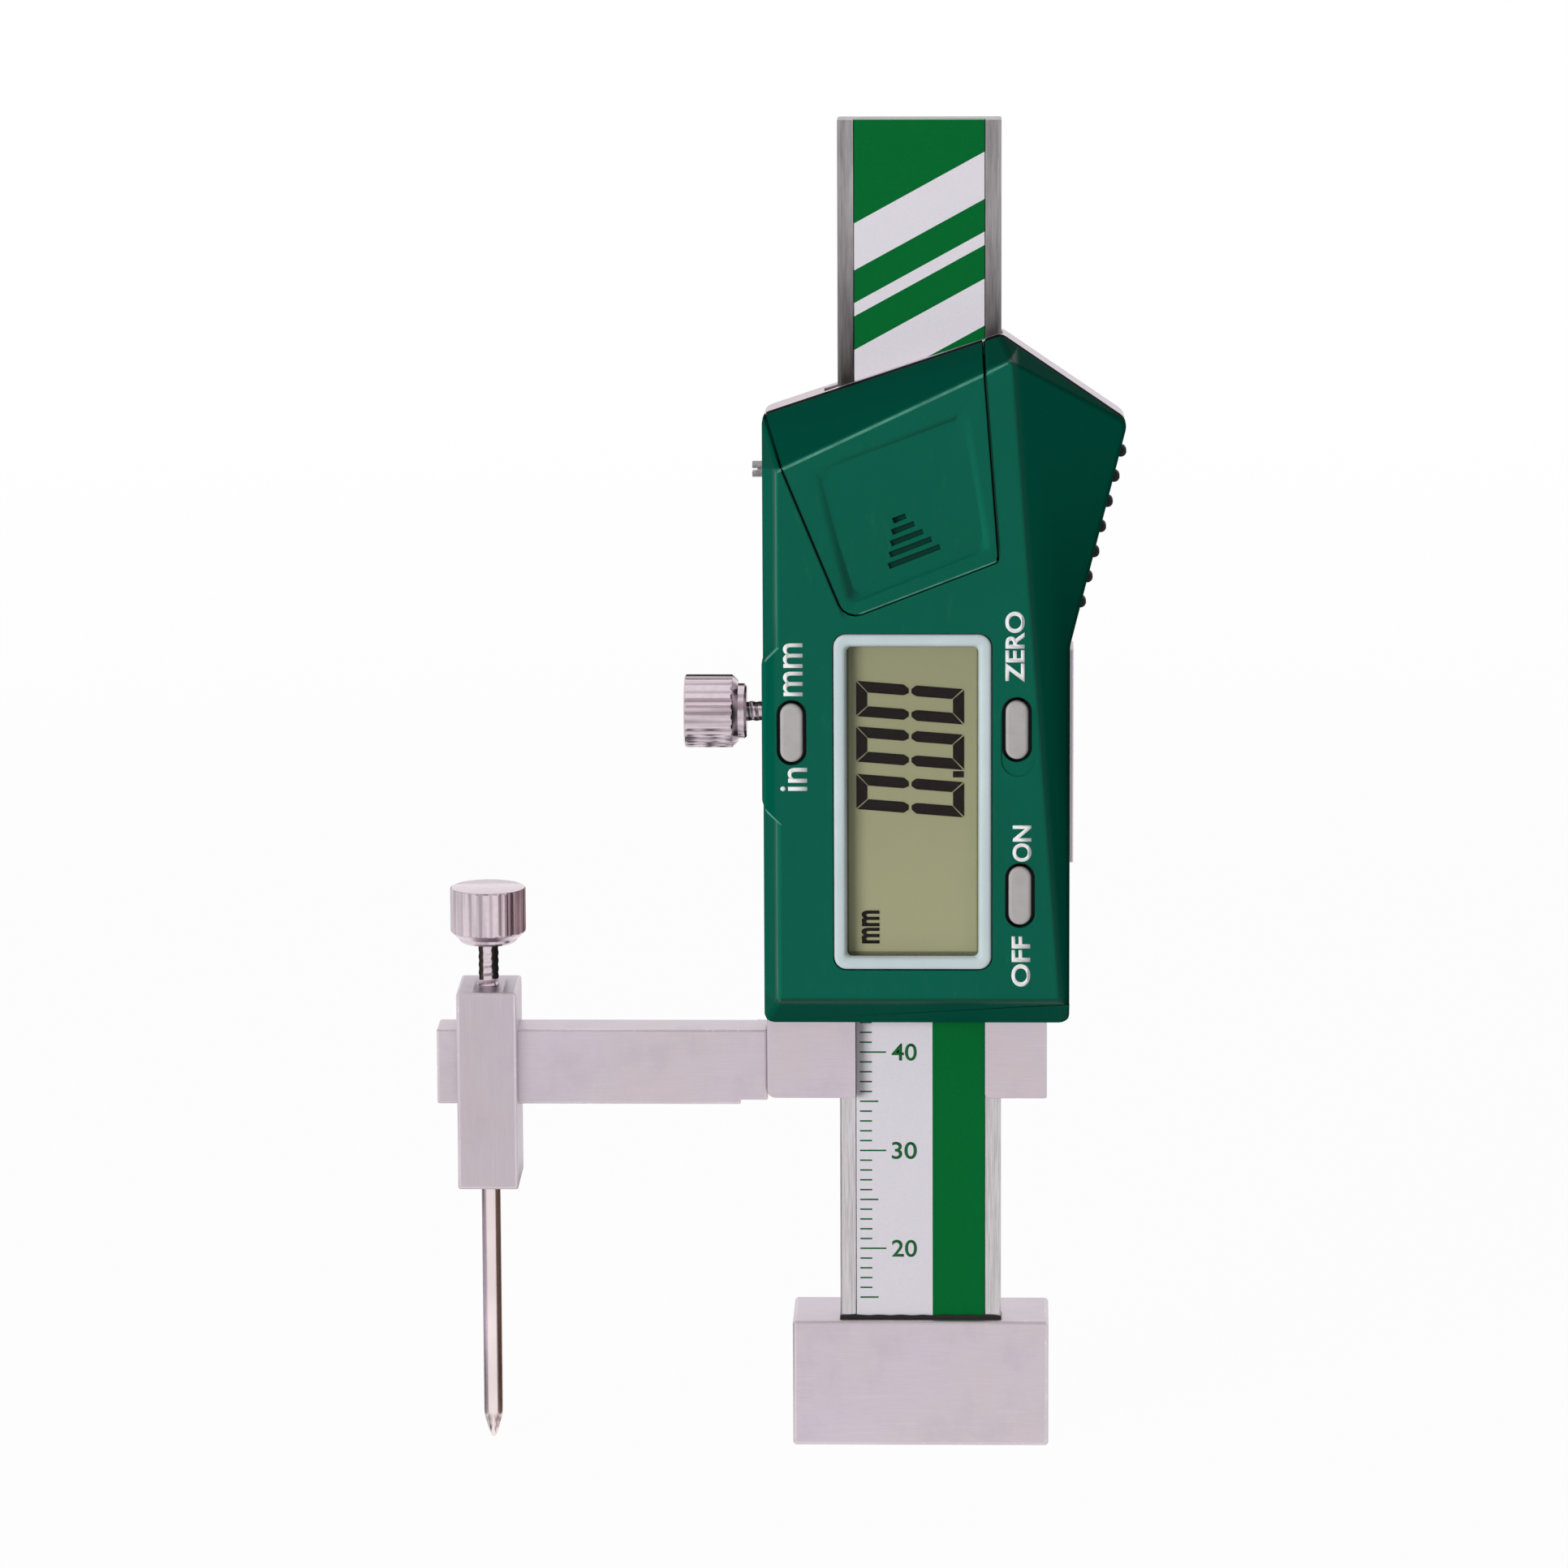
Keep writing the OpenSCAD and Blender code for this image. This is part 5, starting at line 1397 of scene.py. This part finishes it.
class GAUGE_OT_lettering(Look, Operator):
    """Prints the plain words beside the buttons"""

    bl_idname = "gauge.lettering"
    bl_label = "Lettering"

    def execute(self, context):
        for text, x, z, height, width, weight in (
            ("mm", -12.2, 80.25, 1.9, 5.2, 0.008),
            ("in", -12.15, 69.43, 2.6, 2.32, 0.01),
            ("ZERO", 9.35, 82.5, 1.9, 6.95, 0.026),
            ("ON", 10.05, 63.1, 1.85, 3.6, 0.026),
            ("OFF", 9.95, 51.38, 1.85, 5.0, 0.026),
        ):
            piece = print_words(
                f"word_{text.lower()}", text, (x * MM, z * MM), height * MM, width * MM,
                FACE_BOX[0].y, self.sizes.ink, weight,
            )
            show(piece, ("letter_ink",), "slider")
        return {"FINISHED"}


def tick_tree():
    """A ruler's ticks up Z from the origin, longer at every fifth and longest at every tenth."""
    floats = dict.fromkeys(("Pitch", "Width", "Reach", "Ink"), "Float")
    made = Pattern("Scale ticks", {"Ticks": "Int", "First": "Int", **floats})
    line = made.node(
        "GeometryNodeMeshLine", {"mode": "OFFSET"},
        {"Count": made.value("Ticks"), "Offset": made.join(0.0, 0.0, made.value("Pitch"))},
    )
    number = made.node("GeometryNodeInputIndex") + made.value("First")
    fifth = (number % 5.0) < 0.5
    tenth = (number % 10.0) < 0.5
    long = made.value("Reach") * (0.46 + 0.24 * fifth + 0.30 * tenth)
    bar = made.node(
        "GeometryNodeMeshCube", {}, {"Size": made.join(1.0, made.value("Ink"), made.value("Width"))}
    )
    shift = {"Geometry": line, "Offset": made.join(long * 0.5, 0.0, 0.0)}
    moved_line = made.node("GeometryNodeSetPosition", {}, shift)
    ticks = {"Points": moved_line, "Instance": bar, "Scale": made.join(long, 1.0, 1.0)}
    return made.close(made.node("GeometryNodeInstanceOnPoints", {}, ticks))


class GAUGE_OT_scale(Look, Operator):
    """Prints the ticks and figures on the beam's label"""

    bl_idname = "gauge.scale"
    bl_label = "Scale"

    def execute(self, context):
        sizes = self.sizes
        low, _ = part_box("scale_label")
        ink = 0.02 * MM
        first, last = 15, 62
        values = {
            "Ticks": last - first + 1, "First": first, "Pitch": sizes.tick_pitch,
            "Width": sizes.tick_width, "Reach": 2.6 * MM, "Ink": ink,
            "Material": finish_of("scale_ink"),
        }
        ticks = run_pattern(tick_tree(), values, "scale_ticks")
        ticks.data.transform(moved(low.x + 0.35 * MM, low.y, first * sizes.tick_pitch))
        show(ticks, ("scale_ink",), "base")
        for number in range(20, last, 10):
            figure = print_words(
                f"figure_{number}", str(number), (low.x + 4.75 * MM, number * MM), 1.75 * MM, 2.5 * MM,
                low.y, ink / 2, 0.012, upwards=False,
            )
            show(figure, ("scale_ink",), "base")
        return {"FINISHED"}


class GAUGE_OT_seal(Look, Operator):
    """Makes the uneven black seal at the beam's foot"""

    bl_idname = "gauge.seal"
    bl_label = "Seal"

    def execute(self, context):
        low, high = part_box("beam_seal")
        steps, around = 90, 10
        points = []
        for k in range(steps + 1):
            x = low.x + (high.x - low.x) * k / steps
            swell = 1 + 0.10 * math.sin(k * 0.83) + 0.07 * math.sin(k * 0.37 + 1.3)
            top = high.z - 0.03 * MM * (1 + math.sin(k * 0.51))
            for j in range(around):
                turn = math.tau * j / around
                wide = max(-1, min(1, 1.3 * math.cos(turn) * swell / 1.17))
                tall = max(-1, min(1, 1.1 * math.sin(turn)))
                y = (low.y + high.y + (high.y - low.y) * wide) / 2
                points.append(Vector((x, y, (low.z + top + (top - low.z) * tall) / 2)))
        faces = [tuple(range(around))[::-1], tuple(range(steps * around, (steps + 1) * around))]
        for k in range(steps):
            for j in range(around):
                following = (j + 1) % around
                a, b = k * around, (k + 1) * around
                faces.append((a + j, a + following, b + following, b + j))
        mesh = mesh_of("beam_seal_bead", points, faces, outwards=True)
        piece = smooth(add_object("beam_seal_bead", mesh), math.radians(60))
        show(piece, ("black_sealant",), "base", ("beam_seal",))
        return {"FINISHED"}


class GAUGE_OT_inner_pieces(Look, Operator):
    """Gives the pieces that keep their CAD shape their finishes"""

    bl_idname = "gauge.inner_pieces"
    bl_label = "Inner pieces"

    def execute(self, context):
        surfaces = {
            "scale_board": "board_laminate", "scale_label": "scale_print", "gib": "bronze",
            "display_window": "clear_window", "lcd_glass": "lcd", "contact_strips": "strip_rubber",
            "circuit_board": "board_laminate", "controller_chip": "chip_resin",
            "key_domes": "strip_rubber", "battery_cell": "cell_can",
            "battery_contacts": "contact_spring",
        }
        for node, surface in surfaces.items():
            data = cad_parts[node].data
            data.materials.clear()
            data.materials.append(finish_of(surface))
        return {"FINISHED"}


class GAUGE_OT_stage(Look, Operator):
    """Makes the floor, the white surround, the camera, the dark cards and the soft lamp"""

    bl_idname = "gauge.stage"
    bl_label = "Stage"

    def floor(self):
        """A wide pale disc that fades into the white surround and keeps the gauge's shadow."""
        floor = add_object("floor", mesh_of("floor", *lathe([(0, 0), (0.9, 0)], 96)))
        made = Finish("floor")
        x, y, _ = made.split(made.place)
        far = made.step((x * x + y * y) ** 0.5, 0.25, 0.85)
        grain = made.noise(40)
        pale = made.mix(grain, linear(self.colours.floor), linear(self.colours.floor, 0.99))
        matt = made.node("ShaderNodeBsdfDiffuse", {}, {"Color": pale})
        white = made.node("ShaderNodeEmission", {}, {"Color": (1, 1, 1, 1), "Strength": 1.0})
        share = made.seen() * (0.97 + 0.03 * far)
        lit = made.node("ShaderNodeMixShader", {}, {0: share, 1: matt, 2: white})
        floor.data.materials.append(made.end(lit))

    def surround(self):
        """White where it is seen or mirrored, and a softer fill where it lights the gauge."""
        world = bpy.data.worlds.new("surround")
        world.use_nodes = True
        bpy.context.scene.world = world
        made = Bench(world.node_tree)
        fill, white = (
            made.node("ShaderNodeBackground", {}, {"Color": (1, 1, 1, 1), "Strength": strength})
            for strength in (0.26, 1.0)
        )
        both = made.node("ShaderNodeMixShader", {}, {0: made.seen(), 1: fill, 2: white})
        made.node("ShaderNodeOutputWorld", {}, {"Surface": both})

    def card(self, name, low, high, tone):
        """A flat card between two corners, given in millimetres, which only gloss shows.

        It is darker and paler than its tone in upright streaks, as turned steel mirrors things."""
        level = min(range(3), key=lambda axis: abs(high[axis] - low[axis]))
        first, second = (axis for axis in range(3) if axis != level)
        corners = [Vector(low) for _ in range(4)]
        for k in (1, 2):
            corners[k][first] = high[first]
            corners[k + 1][second] = high[second]
        card = add_object(name, mesh_of(name, [c * MM for c in corners], [(0, 1, 2, 3)]))
        made = Finish(name)
        streaks = made.step(made.noise((800, 800, 60)), 0.36, 0.64)
        spread = made.mix(streaks, linear(tone, 0.35), linear(tone, 1.65))
        glow = made.node("ShaderNodeEmission", {}, {"Color": spread, "Strength": 1.0})
        card.data.materials.append(made.end(glow))
        for kind in ("camera", "diffuse", "shadow", "transmission"):
            setattr(card, f"visible_{kind}", False)

    def cards(self):
        """Dark cards beside the turned pieces and in front, as a photographer sets black flags."""
        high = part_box("clamp_screw")[1] / MM
        x = centre("clamp_screw").x / MM
        neck = high.z - 5.4
        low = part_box("lock_screw")[0] / MM
        z = centre("lock_screw").z / MM
        collar = low.x + 6.2
        side = FACE_BOX[0].x / MM
        for name, start, end, tone in (
            ("card_needle_right", (x + 6, -4.1, 0), (x + 6, 10.4, 26), (0.30, 0.24, 0.21)),
            ("card_needle_left", (x - 6, -3.3, 0), (x - 6, 10.4, 26), (0.52, 0.50, 0.54)),
            ("card_tip_right", (x + 0.5, -5, 0.05), (x + 5, 3, 0.05), (0.62, 0.58, 0.58)),
            ("card_tip_left", (x - 5, -5, 0.05), (x - 0.8, 3, 0.05), (0.66, 0.64, 0.65)),
            ("card_neck_right", (x + 1.5, -1.9, 46.8), (x + 1.5, 4.3, neck), (0.06, 0.05, 0.04)),
            ("card_neck_left", (x - 1.5, -0.9, 46.8), (x - 1.5, 4.3, neck), (0.14, 0.10, 0.09)),
            ("card_head_front", (x - 2.4, -14, neck + 13), (x + 1.6, -14, neck + 45), (0.12, 0.09, 0.09)),
            ("card_head_right", (x + 4.5, -5.6, neck), (x + 4.5, 6.6, neck + 6), (0.45, 0.40, 0.41)),
            ("card_head_left", (x - 4.5, 1.9, neck), (x - 4.5, 6.6, neck + 6), (0.40, 0.36, 0.38)),
            ("card_lock_under", (low.x - 1, -5, z - 4.5), (collar, 4, z - 4.5), (0.66, 0.61, 0.62)),
            ("card_lock_behind", (low.x - 1, 5, z + 2.4), (collar, 5, z + 7.4), (0.05, 0.04, 0.04)),
            ("card_stem_above", (collar, -2, z + 3.2), (side, 3, z + 3.2), (0.04, 0.04, 0.04)),
            ("card_stem_under", (collar, -2.5, z - 3.2), (side, 3, z - 3.2), (0.06, 0.05, 0.04)),
            ("card_front", (-400, -500, 160), (400, -500, 500), (0.62, 0.58, 0.58)),
        ):
            self.card(name, start, end, tone)

    def camera(self):
        """The photograph's view: from the front, a little above and to the right."""
        azimuth, elevation, lean = (math.radians(a) for a in (1.65, 10.5, -0.25))
        distance = 800 * MM
        target = Vector((-13.40, -1.75, 67.035)) * MM
        back = Vector((
            math.sin(azimuth) * math.cos(elevation),
            -math.cos(azimuth) * math.cos(elevation),
            math.sin(elevation),
        ))
        focal, picture = 10000, 1932  # in pixels
        data = bpy.data.cameras.new("camera")
        data.sensor_width = 36.0
        data.lens = focal / picture * data.sensor_width
        data.clip_start = 0.05
        camera = add_object("camera", data)
        camera.location = target + back * distance
        turn = (-back).to_track_quat("-Z", "Y") @ Quaternion((0, 0, 1), lean)
        camera.rotation_euler = turn.to_euler()
        bpy.context.scene.camera = camera

    def lamp(self):
        """A square soft lamp in front, to the left, that no gloss shows."""
        data = bpy.data.lights.new("key_light", "AREA")
        data.size = 0.45
        data.energy = 9.6
        lamp = add_object("key_light", data)
        lamp.location = (-0.60, -0.80, 0.10)
        aim = Vector((0, 0, 70 * MM)) - lamp.location
        lamp.rotation_euler = aim.to_track_quat("-Z", "Y").to_euler()
        lamp.visible_glossy = False

    def execute(self, context):
        self.floor()
        self.surround()
        self.camera()
        self.cards()
        self.lamp()
        bpy.context.scene.view_settings.view_transform = "Standard"
        return {"FINISHED"}


OPERATORS = (
    GAUGE_OT_steelwork, GAUGE_OT_housing, GAUGE_OT_needle, GAUGE_OT_thumb_screws, GAUGE_OT_fasteners,
    GAUGE_OT_thumb_grip, GAUGE_OT_display, GAUGE_OT_buttons, GAUGE_OT_lettering, GAUGE_OT_scale,
    GAUGE_OT_seal, GAUGE_OT_inner_pieces, GAUGE_OT_stage,
)


class GAUGE_PT_panel(Panel):
    """The gauge's steps, sizes and colours in the sidebar"""

    bl_idname = "GAUGE_PT_panel"
    bl_label = "Height Gauge"
    bl_space_type = "VIEW_3D"
    bl_region_type = "UI"
    bl_category = "Height Gauge"

    def draw(self, context):
        for operator in OPERATORS:
            self.layout.operator(operator.bl_idname)
        for group in (context.scene.gauge_sizes, context.scene.gauge_colours):
            box = self.layout.box()
            for name in group.__annotations__:
                box.prop(group, name)


CLASSES = (GaugeColours, GaugeSizes, *OPERATORS, GAUGE_PT_panel)


def register():
    """Registers the classes and gives the scene its sizes and colours."""
    for made in CLASSES:
        bpy.utils.register_class(made)
    bpy.types.Scene.gauge_colours = PointerProperty(type=GaugeColours)
    bpy.types.Scene.gauge_sizes = PointerProperty(type=GaugeSizes)


def unregister():
    """Takes the sizes, colours and classes away again."""
    del bpy.types.Scene.gauge_sizes
    del bpy.types.Scene.gauge_colours
    for made in reversed(CLASSES):
        bpy.utils.unregister_class(made)


def main():
    """Makes every piece in order."""
    register()
    bpy.ops.gauge.steelwork()
    bpy.ops.gauge.housing()
    bpy.ops.gauge.needle()
    bpy.ops.gauge.thumb_screws()
    bpy.ops.gauge.fasteners()
    bpy.ops.gauge.thumb_grip()
    bpy.ops.gauge.display()
    bpy.ops.gauge.buttons()
    bpy.ops.gauge.lettering()
    bpy.ops.gauge.scale()
    bpy.ops.gauge.seal()
    bpy.ops.gauge.inner_pieces()
    bpy.ops.gauge.stage()


if __name__ == "__main__":
    main()
